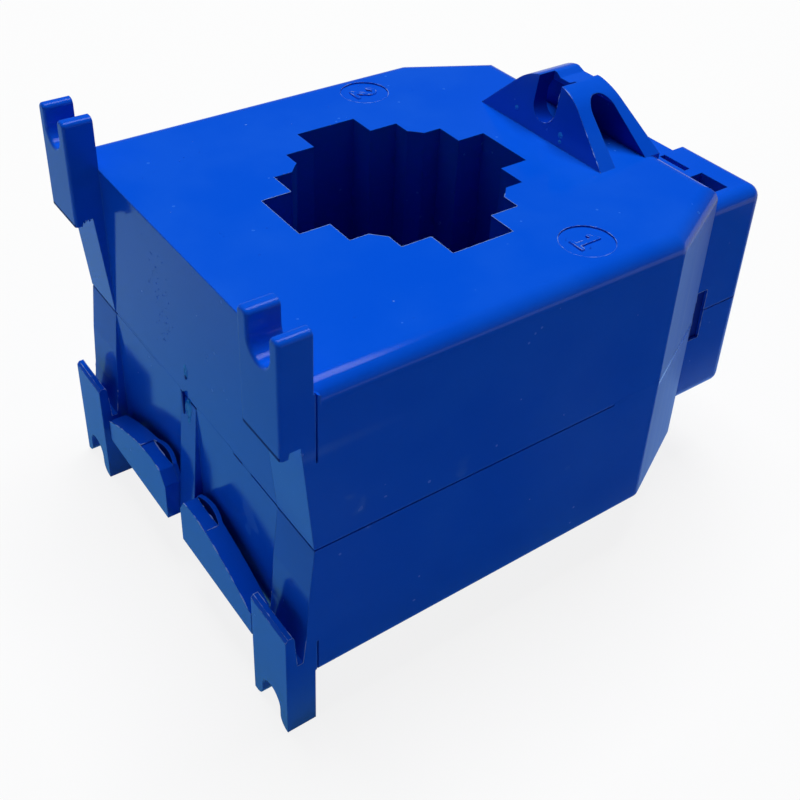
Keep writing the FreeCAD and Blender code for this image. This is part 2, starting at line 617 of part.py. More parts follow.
def toroid():
    """Core, its two cups, the winding, the tape and the foam rings against both faces."""
    rings = [turned("core", section(LINING, "0")),
             core_cup("front_core_cup", "+"), core_cup("back_core_cup", "-"),
             turned("secondary_winding", section("tape_thick", "corner_cut"),
                    section("(tape_thick + winding_thick)", "0"))]
    tape = turned("winding_tape", section("0", "(corner_cut + tape_thick/2)"), section("tape_thick", "corner_cut"))
    reach = f"({TORUS_OUTER} - tape_thick)"
    along = f"({TAG_END} - {CENTRE})"
    middle = f"({TERMINAL_SIDE} - 2.2)"
    for mark, near, far in both_sides(f"{middle} - lead_window", f"{middle} + lead_window"):
        form(tape, "Pocket", f"LeadWindow{mark}", "YZ_Plane", f"{TORUS_OUTER}/2", f"{along}",
             box(near, f"{LEAD_Z} - lead_window", far, f"{LEAD_Z} + lead_window"))
    rings.append(tape)
    near, far = f"({TORUS_INNER} + 0.2)", f"({TORUS_OUTER} - 0.2)"
    outer = f"({MIDDLE} + {TORUS_HALF})"
    rings.append(turned("front_core_cushion", box(near, outer, far, f"{outer} + cushion_thick")))
    lower = f"({MIDDLE} - {TORUS_HALF})"
    rings.append(turned("back_core_cushion", box(near, f"{lower} - cushion_thick", far, lower)))
    return rings


def lead(name, sign):
    """A soft round lead, curved from the winding to its solder tag."""
    turn_centre = f"({TERMINAL_SIDE} - lead_sweep)"
    body = new_body(name, TAG_END, turn_centre if sign > 0 else negative(turn_centre), LEAD_Z)
    across = "lead_sweep" if sign > 0 else "-lead_sweep"
    sketch = new_sketch(body, "RoundSection", "YZ_Plane", "0", [(across, "0", "lead_radius")])
    curve = body.newObject("PartDesign::Revolution", "Curve")
    curve.Profile = sketch
    curve.ReferenceAxis = (sketch, ["V_Axis"])
    curve.Angle = 30
    curve.Reversed = sign < 0
    doc.recompute()
    form(body, "Pocket", "WindingEnd", "XY_Plane", "-5", "5",
         (f"({CENTRE} - {TAG_END})", negative(turn_centre) if sign > 0 else turn_centre,
          f"({TORUS_OUTER} - tape_thick)"))
    return body


def terminal_block():
    """The insert with a well, a wire funnel, a bar seat and a screw hole for each terminal."""
    body = new_body("terminal_block")
    side, low = BLOCK_HALF, f"({CEILING} - bridge_drop)"
    form(body, "Pad", "Block", "YZ_Plane", BLOCK_BACK, BLOCK_FRONT,
         [(negative(side), "sill_height"), (side, "sill_height"), (side, CEILING), ("bridge_half", CEILING),
          ("bridge_half", low), ("-bridge_half", low), ("-bridge_half", CEILING), (negative(side), CEILING)])

    def through(name, plane, near, far, half, first, last):
        for mark, start, end in both_sides(f"{TERMINAL_SIDE} - {half}", f"{TERMINAL_SIDE} + {half}"):
            outline = box(near, start, far, end) if plane == "XY_Plane" else box(start, near, end, far)
            form(body, "Pocket", f"{name}{mark}", plane, first, last, outline)
    through("Well", "XY_Plane", WELL_FOOT, WELL_ROOF, WELL_HALF, "sill_height - 0.5", WELL_CEILING)
    through("Funnel", "XY_Plane", f"{CAGE_FOOT} + cage_wall", f"{BAR_FRONT} - bar_thick", "(cage_width/2 - cage_side)",
            f"{WELL_CEILING} - 0.5", f"{CEILING} + 0.5")
    through("BarSeat", "XY_Plane", f"{BAR_FRONT} - bar_thick", BAR_FRONT, "bar_width/2",
            f"{WELL_CEILING} - 0.5", f"{WELL_CEILING} + 1")
    through("TagSlot", "YZ_Plane", BAR_LOW, f"{BAR_LOW} + bar_thick", "bar_width/2",
            f"{BLOCK_BACK} - 0.5", f"{WELL_FOOT} + 0.5")
    for mark, side in (("Two", TERMINAL_SIDE), ("One", f"-{TERMINAL_SIDE}")):
        form(body, "Pocket", f"ScrewHole{mark}", "YZ_Plane", f"{WELL_ROOF} - 0.5", f"{HEAD_SEAT} + 0.5",
             (side, TERMINAL_Z, "(screw_radius + 2*thread_play)"))
        form(body, "Pocket", f"HeadWell{mark}", "YZ_Plane", HEAD_SEAT, f"{BLOCK_FRONT} + 0.5",
             (side, TERMINAL_Z, "(screw_head + well_play)"))
    return body


def terminal(mark, sign):
    """The rising cage, its captive screw and the current bar of one terminal."""
    low, high = (f"{TERMINAL_SIDE} - ", f"{TERMINAL_SIDE} + ") if sign > 0 else (f"-{TERMINAL_SIDE} - ", f"-{TERMINAL_SIDE} + ")
    side = TERMINAL_SIDE if sign > 0 else f"-{TERMINAL_SIDE}"
    cage = new_body(f"cage_{mark}")
    form(cage, "Pad", "Cage", "XY_Plane", f"{TERMINAL_Z} - cage_height/2", f"{TERMINAL_Z} + cage_height/2",
         box(CAGE_FOOT, f"{low}cage_width/2", CAGE_TOP, f"{high}cage_width/2"),
         box(f"{CAGE_FOOT} + cage_wall", f"{low}(cage_width/2 - cage_side)", f"{CAGE_TOP} - cage_wall",
             f"{high}(cage_width/2 - cage_side)"))
    form(cage, "Pocket", "Thread", "YZ_Plane", f"{CAGE_TOP} - cage_wall - 0.1", f"{CAGE_TOP} + 0.5",
         (side, TERMINAL_Z, "(screw_radius + thread_play)"))
    screw = new_body(f"screw_{mark}")
    seat, tip = f"({HEAD_SEAT} + thread_play)", f"({CAGE_TOP} - cage_wall + thread_play)"
    form(screw, "Pad", "Head", "YZ_Plane", seat, f"{HEAD_SEAT} + head_height", (side, TERMINAL_Z, "screw_head"))
    form(screw, "Pad", "Shank", "YZ_Plane", tip, f"{HEAD_SEAT} + 0.5", (side, TERMINAL_Z, "screw_radius"))
    form(screw, "Pocket", "Slot", "YZ_Plane", f"{HEAD_SEAT} + head_height - slot_deep",
         f"{HEAD_SEAT} + head_height + 0.5",
         box(f"{low}head_slot/2", f"{TERMINAL_Z} - screw_head - 1", f"{high}head_slot/2",
             f"{TERMINAL_Z} + screw_head + 1"))
    bar = new_body(f"current_bar_{mark}")
    form(bar, "Pad", "Strip", "XZ_Plane", f"{low}bar_width/2", f"{high}bar_width/2",
         [(TAG_END, BAR_LOW), (BAR_FRONT, BAR_LOW), (BAR_FRONT, f"{WELL_CEILING} + 1"),
          (f"{BAR_FRONT} - bar_thick", f"{WELL_CEILING} + 1"), (f"{BAR_FRONT} - bar_thick", f"{BAR_LOW} + bar_thick"),
          (TAG_END, f"{BAR_LOW} + bar_thick")])
    return [cage, screw, bar]


def terminal_cover():
    """The flap over the screw holes, on two stub pins at its lower edge."""
    body = new_body("terminal_cover")
    inside = f"{BOX_END} - cover_thick"
    form(body, "Pad", "Plate", "YZ_Plane", inside, BOX_END,
         box("-cover_half", HINGE_Z, "cover_half", "cover_top - cover_gap"))
    form(body, "Pad", "Barrel", "XZ_Plane", "-cover_half", "cover_half", (HINGE_X, HINGE_Z, "barrel_radius"))
    pin_end = "(cover_half + cover_gap + pin_reach - 0.2)"
    form(body, "Pad", "Pins", "XZ_Plane", negative(pin_end), pin_end, (HINGE_X, HINGE_Z, "pin_radius"))
    form(body, "Pocket", "FingerNotch", "YZ_Plane", f"{BOX_END} - finger_depth", f"{BOX_END} + 0.5",
         box("-finger_half", "cover_top - cover_gap - 1.6", "finger_half", "cover_top"))
    return body


nodes = [front_shell(), back_shell(), *toroid(), lead("lead_s1", -1), lead("lead_s2", 1), terminal_block(),
         *terminal("s1", -1), *terminal("s2", 1), terminal_cover()]
doc.recompute()
for item in doc.Objects:
    if any(state in ("Invalid", "Error") for state in item.State):
        raise RuntimeError(f"{item.Name} failed: {item.State}")
for node in nodes:
    if node.Shape.isNull() or not node.Shape.isValid() or len(node.Shape.Solids) != 1:
        raise RuntimeError(f"{node.Label} is not one valid solid")
os.makedirs("parts", exist_ok=True)
for node in nodes:
    node.Shape.exportStep(f"parts/{node.Label}.step")
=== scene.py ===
import math
import random

import bmesh
import bpy
from mathutils import Matrix, Vector


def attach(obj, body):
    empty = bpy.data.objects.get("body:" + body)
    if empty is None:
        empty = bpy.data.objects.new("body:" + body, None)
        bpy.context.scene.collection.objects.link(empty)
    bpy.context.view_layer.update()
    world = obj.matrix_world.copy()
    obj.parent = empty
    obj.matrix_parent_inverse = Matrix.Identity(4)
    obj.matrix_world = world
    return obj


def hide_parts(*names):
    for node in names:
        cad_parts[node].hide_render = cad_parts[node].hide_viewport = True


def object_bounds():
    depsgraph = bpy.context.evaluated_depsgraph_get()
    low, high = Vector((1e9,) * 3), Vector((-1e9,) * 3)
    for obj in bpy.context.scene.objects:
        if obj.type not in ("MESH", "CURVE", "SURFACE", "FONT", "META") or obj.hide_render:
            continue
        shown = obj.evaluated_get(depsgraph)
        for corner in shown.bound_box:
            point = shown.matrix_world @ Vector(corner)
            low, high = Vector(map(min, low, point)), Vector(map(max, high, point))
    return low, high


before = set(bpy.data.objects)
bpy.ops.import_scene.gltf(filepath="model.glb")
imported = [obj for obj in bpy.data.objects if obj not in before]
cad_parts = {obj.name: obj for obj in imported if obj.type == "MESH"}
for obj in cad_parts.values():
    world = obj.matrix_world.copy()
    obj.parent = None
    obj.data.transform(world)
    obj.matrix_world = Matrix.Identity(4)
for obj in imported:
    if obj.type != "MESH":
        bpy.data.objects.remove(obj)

cad_low, cad_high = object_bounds()

# Places of the case in millimetres: lengths from its feet end, heights from the seam of its two shells
WINDOW_AXIS = 36.4064
SEAM_HEIGHT = 33.8
CASE_LENGTH = 76.813
HALF_WIDTH = 35.006
FRONT_FACE = 26.0
DISC_PLACE = (CASE_LENGTH - 28.0, 27.8)
DISC_DEPTH = 0.25
SEAM_GROOVE = 0.25
SEAM_PROUD = 0.012
COLUMN_INNER = 25.7
CORNER_START, CORNER_END = (61.32, 35.0), (76.7, 27.17)
BRACKET_START = CASE_LENGTH - 13.0
LEDGE_LIP = 17.3
TERMINAL_SIDE = 19.55
TERMINAL_HEIGHT = 11.95
SHANK_ENDS = (82.2, 85.9)
LATCH_FLOOR = 24.72
# The front of the bracket leans back by the first of these over a height of the second
BRACKET_LEAN = (1.4, 9.3)
# Half the window along and across the case, its relief for a cable included
WINDOW_REACH = (22.2, 21.4)
# The toroid: its radii about the window axis, the height of its middle and half its height
TORUS_RADII = (23.306, 32.506)
TORUS_MIDDLE = 1.0
TORUS_HALF = 21.1
# Farther than the case reaches, for a mask that has no end on that side
BEYOND = 50.0

# Colours of the case: plain, worn, a painted sheen on its streaked corners, and painted shade in its hollows
CASE_BLUE, CASE_PALE = (0.0, 0.085, 0.72), (0.03, 0.2, 0.85)
# Painted sheen: a paler blue for the slanted corners
CORNER_SHEEN_BLUE = (0.06, 0.17, 0.8, 1)
# Painted shade: darker blues for the window's depth, the bracket's notch and tunnel and the lower edge of the
# front feet
WINDOW_SHADE_BLUE = (0.0, 0.004, 0.4, 1)
TUNNEL_SHADE_BLUE = (0.0, 0.01, 0.3, 1)
LIP_SHADE_BLUE = (0.0, 0.02, 0.25, 1)
# The slanted corners face this far along and across the case
CORNER_NORMAL = (0.454, 0.891)

# Studio: colours of the table, of what gloss sees of it and of the world above, and how white the floor is;
# the shadow colours are painted shadow under and before the case
TABLE_COLOUR = (0.72, 0.75, 0.78, 1)
TABLE_SHADOW = (0.03, 0.03, 0.04, 1)
SHEEN_SHADOW = (0, 0, 0.005, 1)
SHEEN_COLOUR = (0.2, 0.42, 0.65, 1)
NEAR_SHEEN = (0.105, 0.375, 0.64, 1)
VIOLET_SHEEN = (0.33, 0.58, 1.0, 1)
SHADOWED_SHEEN = (0.01, 0.04, 0.07, 1)
PLAIN_SHEEN = (0.5, 0.53, 0.56, 1)
HORIZON_COLOUR = (0.08, 0.1, 0.12, 1)
ZENITH_COLOUR = (0.02, 0.03, 0.04, 1)
FLOOR_WHITE = 0.86


def place(x, y, z):
    """A point of the case, in metres of the frame."""
    return Vector(((x - WINDOW_AXIS) / 1000, y / 1000, (z + SEAM_HEIGHT) / 1000))


# Node helpers


def new_material(name):
    material = bpy.data.materials.new(name)
    material.use_nodes = True
    tree = material.node_tree
    tree.nodes.clear()
    output = tree.nodes.new("ShaderNodeOutputMaterial")
    shader = tree.nodes.new("ShaderNodeBsdfPrincipled")
    tree.links.new(shader.outputs[0], output.inputs[0])
    return material, tree, shader


def put(tree, value, socket):
    """Links an output to the socket, or sets a plain value on it."""
    if isinstance(value, bpy.types.NodeSocket):
        tree.links.new(value, socket)
    else:
        socket.default_value = value


def add(tree, kind, settings=None, **inputs):
    """A node with settings; an input is given by its name, with _ for a space."""
    node = tree.nodes.new(kind)
    for key, value in (settings or {}).items():
        setattr(node, key, value)
    for key, value in inputs.items():
        put(tree, value, node.inputs[key.replace("_", " ")])
    return node


def maths(tree, operation, *values, clamp=False):
    node = add(tree, "ShaderNodeMath", {"operation": operation, "use_clamp": clamp})
    for socket, value in zip(node.inputs, values):
        put(tree, value, socket)
    return node.outputs[0]


def blend_colour(tree, amount, first, second):
    node = add(tree, "ShaderNodeMix", {"data_type": "RGBA"})
    for index, value in ((0, amount), (6, first), (7, second)):
        put(tree, value, node.inputs[index])
    return node.outputs[2]


def step_up(tree, value, low, high):
    """Zero below low, one above high, soft in between."""
    node = add(tree, "ShaderNodeMapRange", {"interpolation_type": "SMOOTHSTEP"}, Value=value)
    node.inputs["From Min"].default_value = low
    node.inputs["From Max"].default_value = high
    return node.outputs[0]


def object_place(tree):
    return tree.nodes.new("ShaderNodeTexCoord").outputs["Object"]


def noise(tree, source, scale, detail=3.0, stretch=None, turn=(0.0, 0.0, 0.0)):
    if stretch:
        mapping = add(tree, "ShaderNodeMapping", None, Vector=source, Rotation=turn, Scale=stretch)
        source = mapping.outputs[0]
    return add(tree, "ShaderNodeTexNoise", None, Vector=source, Scale=scale, Detail=detail).outputs["Fac"]


def new_group(name, inputs, outputs):
    group = bpy.data.node_groups.new(name, "ShaderNodeTree")
    for socket, kind, value in inputs:
        group.interface.new_socket(socket, in_out="INPUT", socket_type=kind).default_value = value
    for socket, kind in outputs:
        group.interface.new_socket(socket, in_out="OUTPUT", socket_type=kind)
    return group, group.nodes.new("NodeGroupInput"), group.nodes.new("NodeGroupOutput")


COLOUR, NUMBER, VECTOR = "NodeSocketColor", "NodeSocketFloat", "NodeSocketVector"


def moulded_skin():
    """Moulded plastic: cloudy colour, paler edges, hairline scratches, dust specks and a fine orange peel."""
    group, given, made = new_group(
        "moulded_skin",
        [("Colour", COLOUR, (0.0, 0.1, 0.7, 1)), ("Pale", COLOUR, (0.1, 0.2, 0.8, 1)),
         ("Roughness", NUMBER, 0.4), ("Grain", NUMBER, 0.2), ("Wear", NUMBER, 0.5), ("Edge", NUMBER, 0.0001)],
        [("Colour", COLOUR), ("Roughness", NUMBER), ("Normal", VECTOR)])
    spot = object_place(group)
    cloud = step_up(group, noise(group, spot, 22.0, 2.0), 0.3, 0.75)
    mottle = step_up(group, noise(group, spot, 75.0), 0.35, 0.7)
    hairs = [step_up(group, noise(group, spot, scale, 2.0, stretch, turn), low, low + 0.025)
             for scale, stretch, turn, low in ((60.0, (1.0, 0.04, 1.0), (0.2, 0.3, 0.6), 0.7),
                                               (75.0, (0.05, 1.0, 1.0), (0.5, -0.2, -0.5), 0.71),
                                               (90.0, (1.0, 0.06, 1.0), (-0.4, 0.1, 1.3), 0.7))]
    hair = maths(group, "MAXIMUM", maths(group, "MAXIMUM", hairs[0], hairs[1]), hairs[2])
    hair = maths(group, "MULTIPLY", hair, step_up(group, noise(group, spot, 45.0, 1.0), 0.5, 0.62))
    dots = add(group, "ShaderNodeTexVoronoi", None, Vector=spot, Scale=520.0)
    size = maths(group, "MULTIPLY", noise(group, spot, 900.0, 1.0), 0.22)
    dust = maths(group, "LESS_THAN", dots.outputs["Distance"], size)
    dust = maths(group, "MULTIPLY", dust, step_up(group, noise(group, spot, 150.0, 1.0), 0.6, 0.64))
    marks = maths(group, "MULTIPLY", maths(group, "MAXIMUM", hair, dust), given.outputs["Wear"])
    rounded = add(group, "ShaderNodeBevel", {"samples": 4}, Radius=given.outputs["Edge"])
    facing = add(group, "ShaderNodeVectorMath", {"operation": "DOT_PRODUCT"}, Vector=rounded.outputs[0])
    put(group, group.nodes.new("ShaderNodeNewGeometry").outputs["Normal"], facing.inputs[1])
    edge = step_up(group, facing.outputs["Value"], 0.995, 0.85)
    tone = maths(group, "MULTIPLY", maths(group, "ADD", mottle, cloud), 0.09)
    colour = blend_colour(group, tone, given.outputs["Colour"], given.outputs["Pale"])
    worn = maths(group, "MULTIPLY", marks, 0.5)
    paler = maths(group, "MAXIMUM", worn, maths(group, "MULTIPLY", edge, 0.25))
    put(group, blend_colour(group, paler, colour, given.outputs["Pale"]), made.inputs["Colour"])
    uneven = maths(group, "MULTIPLY_ADD", cloud, 0.08, given.outputs["Roughness"])
    put(group, maths(group, "MULTIPLY_ADD", marks, 0.25, uneven, clamp=True), made.inputs["Roughness"])
    peel = maths(group, "MULTIPLY", noise(group, spot, 2600.0, 2.0), given.outputs["Grain"])
    waves = maths(group, "MULTIPLY", noise(group, spot, 260.0, 2.0), 0.5)
    height = maths(group, "SUBTRACT", maths(group, "ADD", peel, waves), worn)
    bump = add(group, "ShaderNodeBump", None, Strength=0.25, Distance=0.00004, Height=height,
               Normal=rounded.outputs[0])
    put(group, bump.outputs[0], made.inputs["Normal"])
    return group


def drawn_metal():
    """Drawn or stamped metal: colour with stains, roughness and normal along one grain."""
    group, given, made = new_group(
        "drawn_metal",
        [("Colour", COLOUR, (0.7, 0.7, 0.7, 1)), ("Stain", COLOUR, (0.4, 0.4, 0.4, 1)),
         ("Roughness", NUMBER, 0.3), ("Grain Scale", VECTOR, (1.0, 1.0, 1.0)), ("Edge", NUMBER, 0.00005)],
        [("Colour", COLOUR), ("Roughness", NUMBER), ("Normal", VECTOR)])
    spot = object_place(group)
    mapping = add(group, "ShaderNodeMapping", None, Vector=spot, Scale=given.outputs["Grain Scale"])
    grain = noise(group, mapping.outputs[0], 1400.0, 4.0)
    stain = step_up(group, noise(group, spot, 300.0, 4.0), 0.42, 0.72)
    colour = blend_colour(group, maths(group, "MULTIPLY", stain, 0.6), given.outputs["Colour"],
                          given.outputs["Stain"])
    put(group, colour, made.inputs["Colour"])
    rough = maths(group, "MULTIPLY_ADD", grain, 0.2, given.outputs["Roughness"])
    put(group, maths(group, "MULTIPLY_ADD", stain, 0.15, rough, clamp=True), made.inputs["Roughness"])
    rounded = add(group, "ShaderNodeBevel", {"samples": 4}, Radius=given.outputs["Edge"])
    bump = add(group, "ShaderNodeBump", None, Strength=0.3, Distance=0.00002, Height=grain,
               Normal=rounded.outputs[0])
    put(group, bump.outputs[0], made.inputs["Normal"])
    return group


SKIN = moulded_skin()
DRAWN = drawn_metal()


def surface(name, group, **inputs):
    """A material with the colour, roughness and normal of a shader group at these values."""
    material, tree, shader = new_material(name)
    skin = add(tree, "ShaderNodeGroup", {"node_tree": group}, **inputs)
    for output, socket in (("Colour", "Base Color"), ("Roughness", "Roughness"), ("Normal", "Normal")):
        put(tree, skin.outputs[output], shader.inputs[socket])
    return material, shader


def opened(material):
    """The node tree of a material and its Principled shader, to add to them."""
    tree = material.node_tree
    return tree, next(node for node in tree.nodes if node.type == "BSDF_PRINCIPLED")


def feeding(socket):
    """The output that is linked to an input."""
    return socket.links[0].from_socket


def plastic(name, colour, pale, roughness, grain, wear, edge=0.0001, ior=1.45):
    material, shader = surface(name, SKIN, Colour=(*colour, 1), Pale=(*pale, 1), Roughness=roughness,
                               Grain=grain, Wear=wear, Edge=edge)
    shader.inputs["IOR"].default_value = ior
    return material


def metal(name, colour, stain, roughness, grain):
    material, shader = surface(name, DRAWN, Colour=(*colour, 1), Stain=(*stain, 1), Roughness=roughness,
                               Grain_Scale=grain)
    shader.inputs["Metallic"].default_value = 1.0
    return material


def strip_steel():
    """The wound core: the edges of its thin steel strip show as rings on both end faces."""
    material = metal("core_strip_steel", (0.42, 0.43, 0.46), (0.2, 0.19, 0.2), 0.32, (1.0, 1.0, 0.03))
    tree, shader = opened(material)
    rings = add(tree, "ShaderNodeTexWave", {"wave_type": "RINGS", "rings_direction": "Z"},
                Vector=object_place(tree), Scale=900.0, Distortion=0.4, Detail=2.0)
    bump = add(tree, "ShaderNodeBump", None, Strength=0.5, Distance=0.00004, Height=rings.outputs["Fac"],
               Normal=feeding(shader.inputs["Normal"]))
    put(tree, bump.outputs[0], shader.inputs["Normal"])
    return material


def foam_ring():
    """Closed foam with open pores on its cut faces."""
    material, tree, shader = new_material("foam_ring")
    spot = object_place(tree)
    pores = add(tree, "ShaderNodeTexVoronoi", None, Vector=spot, Scale=1500.0).outputs["Distance"]
    light = step_up(tree, pores, 0.1, 0.55)
    shade = blend_colour(tree, light, (0.008, 0.008, 0.01, 1), (0.05, 0.05, 0.055, 1))
    put(tree, shade, shader.inputs["Base Color"])
    put(tree, maths(tree, "MULTIPLY_ADD", noise(tree, spot, 400.0), 0.2, 0.75), shader.inputs["Roughness"])
    bump = add(tree, "ShaderNodeBump", None, Strength=0.8, Distance=0.00015, Height=pores)
    put(tree, bump.outputs[0], shader.inputs["Normal"])
    return material


def enamelled_wire():
    """Copper wire under clear amber enamel."""
    material, tree, shader = new_material("enamelled_wire")
    spot = object_place(tree)
    tone = step_up(tree, noise(tree, spot, 160.0, 3.0), 0.35, 0.7)
    amber = blend_colour(tree, tone, (0.5, 0.13, 0.04, 1), (0.68, 0.24, 0.08, 1))
    put(tree, amber, shader.inputs["Base Color"])
    put(tree, maths(tree, "MULTIPLY_ADD", tone, 0.12, 0.22), shader.inputs["Roughness"])
    bump = add(tree, "ShaderNodeBump", None, Strength=0.2, Distance=0.00002,
               Height=noise(tree, spot, 900.0, 2.0))
    put(tree, bump.outputs[0], shader.inputs["Normal"])
    shader.inputs["Metallic"].default_value = 0.8
    shader.inputs["Coat Weight"].default_value = 0.5
    return material


def within(tree, spot, low, high):
    """One inside a box of the case between two corners, zero outside."""
    mask = 1.0
    for axis, least, most in zip("XYZ", place(*low), place(*high)):
        for operation, limit in (("GREATER_THAN", least), ("LESS_THAN", most)):
            mask = maths(tree, "MULTIPLY", mask, maths(tree, operation, spot.outputs[axis], limit))
    return mask


def case_skin(name, edge):
    """The glossy plastic of the case, with edges that look rounded by this radius."""
    return plastic(name, CASE_BLUE, CASE_PALE, 0.1, 0.5, 0.8, edge, 1.42)


def streak_corners(tree, shader, normal):
    """Makes the slanted corners at the terminal end matt, with fine upright streaks, and paints a pale sheen
    into their colour, stronger on the streaks.
    """
    slant = maths(tree, "MULTIPLY_ADD", maths(tree, "ABSOLUTE", normal.outputs["Y"]), CORNER_NORMAL[1],
                  maths(tree, "MULTIPLY", normal.outputs["X"], CORNER_NORMAL[0]))
    matt = step_up(tree, slant, 0.985, 0.995)
    streaks = noise(tree, object_place(tree), 700.0, 3.0, (1.0, 1.0, 0.02))
    rough = feeding(shader.inputs["Roughness"])
    worn = maths(tree, "MULTIPLY_ADD", streaks, 0.25, 0.22)
    put(tree, maths(tree, "MULTIPLY_ADD", matt, maths(tree, "SUBTRACT", worn, rough), rough),
        shader.inputs["Roughness"])
    # Painted sheen: the corners turn paler, most on the streaks
    pale = maths(tree, "MULTIPLY_ADD", step_up(tree, streaks, 0.4, 0.65), 0.25, 0.1)
    colour = blend_colour(tree, maths(tree, "MULTIPLY", matt, pale), feeding(shader.inputs["Base Color"]),
                          CORNER_SHEEN_BLUE)
    put(tree, colour, shader.inputs["Base Color"])


def paint_shade_in_hollows(tree, shader, normal):
    """Paints shade into the window's depth, the bracket's notch and tunnel and the lower edge of the front
    feet, and weakens their gloss.
    """
    spot = add(tree, "ShaderNodeSeparateXYZ", None, Vector=object_place(tree))
    # Painted shade, darker down the window
    mouth = place(0, 0, FRONT_FACE).z
    depth = step_up(tree, spot.outputs["Z"], mouth - 0.0005, mouth - 0.022)
    along, across = WINDOW_REACH
    window = within(tree, spot, (WINDOW_AXIS - along, -across, -BEYOND),
                    (WINDOW_AXIS + along, across, BEYOND))
    deep = maths(tree, "MULTIPLY", maths(tree, "MULTIPLY", window, depth), 0.7)
    colour = blend_colour(tree, deep, feeding(shader.inputs["Base Color"]), WINDOW_SHADE_BLUE)
    # Painted shade in the notch on all but the front of the bracket, and in the tunnel on the faces that
    # don't look sideways
    notch = within(tree, spot, (BRACKET_START, -2.62, 28.3), (BRACKET_START + 4.6, 2.62, 35.2))
    notch = maths(tree, "MULTIPLY", notch, maths(tree, "GREATER_THAN", normal.outputs["X"], -0.9))
    tunnel = within(tree, spot, (BRACKET_START + 2.9, -BEYOND, 26.05), (BRACKET_START + 9.8, BEYOND, 32.7))
    endways = maths(tree, "LESS_THAN", maths(tree, "ABSOLUTE", normal.outputs["Y"]), 0.05)
    hidden = maths(tree, "MAXIMUM", notch, maths(tree, "MULTIPLY", tunnel, endways))
    hidden = maths(tree, "MULTIPLY", hidden, 0.75)
    colour = blend_colour(tree, hidden, colour, TUNNEL_SHADE_BLUE)
    # Painted shade along the lower edge of the front feet; gloss is weaker there and in the notch and tunnel
    lip = within(tree, spot, (-5.0, -BEYOND, LEDGE_LIP - 1.0), (-4.5, BEYOND, LEDGE_LIP + 0.5))
    put(tree, blend_colour(tree, lip, colour, LIP_SHADE_BLUE), shader.inputs["Base Color"])
    gloss = maths(tree, "MULTIPLY_ADD", maths(tree, "MAXIMUM", lip, hidden), -0.45, 0.5)
    put(tree, gloss, shader.inputs["Specular IOR Level"])


def case_plastic():
    """The plastic of both shells and the cover, with their streaked corners, a sheen painted on those corners
    and shade painted in their hollows.
    """
    material = case_skin("case_blue", 0.00022)
    tree, shader = opened(material)
    facing = tree.nodes.new("ShaderNodeNewGeometry").outputs["Normal"]
    normal = add(tree, "ShaderNodeSeparateXYZ", None, Vector=facing)
    streak_corners(tree, shader, normal)
    paint_shade_in_hollows(tree, shader, normal)
    return material


case_blue = case_plastic()
case_fill = case_skin("case_fill", 0.0)
# Pale blue of the mould flash, also on ridges painted as highlights
flash_highlight_blue = plastic("flash_highlight_blue", (0.25, 0.42, 0.92), (0.5, 0.65, 0.98), 0.35, 0.8, 0.2, 0.00002)
dust_blue = plastic("dust_blue", (0.08, 0.24, 0.85), (0.2, 0.4, 0.9), 0.4, 0.8, 0.2, 0.00002)
scar_teal = plastic("scar_teal", (0.0, 0.22, 0.8), (0.12, 0.5, 0.95), 0.2, 4.0, 1.2, 0.00002)
notch_shade = plastic("notch_shade", (0.0, 0.02, 0.3), (0.0, 0.05, 0.4), 0.3, 0.5, 0.2, 0.00002, 1.15)
insert_plastic = plastic("insert_plastic", (0.012, 0.02, 0.05), (0.05, 0.06, 0.1), 0.45, 0.6, 0.3)
cup_plastic = plastic("cup_plastic", (0.012, 0.012, 0.014), (0.05, 0.05, 0.055), 0.5, 0.6, 0.3)
tape_film = plastic("tape_film", (0.62, 0.36, 0.03), (0.75, 0.5, 0.1), 0.25, 0.2, 0.3, 0.00003)
lead_sleeve = plastic("lead_sleeve", (0.4, 0.012, 0.01), (0.5, 0.06, 0.05), 0.4, 0.3, 0.2)
plated_brass = metal("plated_brass", (0.8, 0.76, 0.66), (0.6, 0.5, 0.32), 0.22, (1.0, 0.05, 1.0))
screw_steel = metal("screw_steel", (0.75, 0.74, 0.7), (0.55, 0.5, 0.4), 0.22, (0.05, 1.0, 1.0))
tinned_copper = metal("tinned_copper", (0.78, 0.72, 0.66), (0.7, 0.42, 0.26), 0.28, (1.0, 0.05, 1.0))
core_steel = strip_steel()
foam = foam_ring()
winding_wire = enamelled_wire()

node_materials = {
    "front_shell": case_blue, "back_shell": case_blue, "terminal_cover": case_blue, "core": core_steel,
    "front_core_cup": cup_plastic, "back_core_cup": cup_plastic, "secondary_winding": winding_wire,
    "winding_tape": tape_film, "front_core_cushion": foam, "back_core_cushion": foam,
    "lead_s1": lead_sleeve, "lead_s2": lead_sleeve, "terminal_block": insert_plastic,
    "cage_s1": plated_brass, "cage_s2": plated_brass, "screw_s1": screw_steel, "screw_s2": screw_steel,
    "current_bar_s1": tinned_copper, "current_bar_s2": tinned_copper}
for node, material in node_materials.items():
    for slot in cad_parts[node].material_slots:
        slot.material = material

# Pieces


def new_object(name, mesh):
    piece = bpy.data.objects.new(name, mesh)
    bpy.context.scene.collection.objects.link(piece)
    return piece


def mesh_from(name, points, faces=(), edges=()):
    mesh = bpy.data.meshes.new(name)
    mesh.from_pydata([tuple(point) for point in points], list(edges), list(faces))
    return mesh


def dress(piece, material, body="housing"):
    """Gives a finished piece its material and body."""
    piece.data.materials.clear()
    piece.data.materials.append(material)
    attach(piece, body)
    return piece


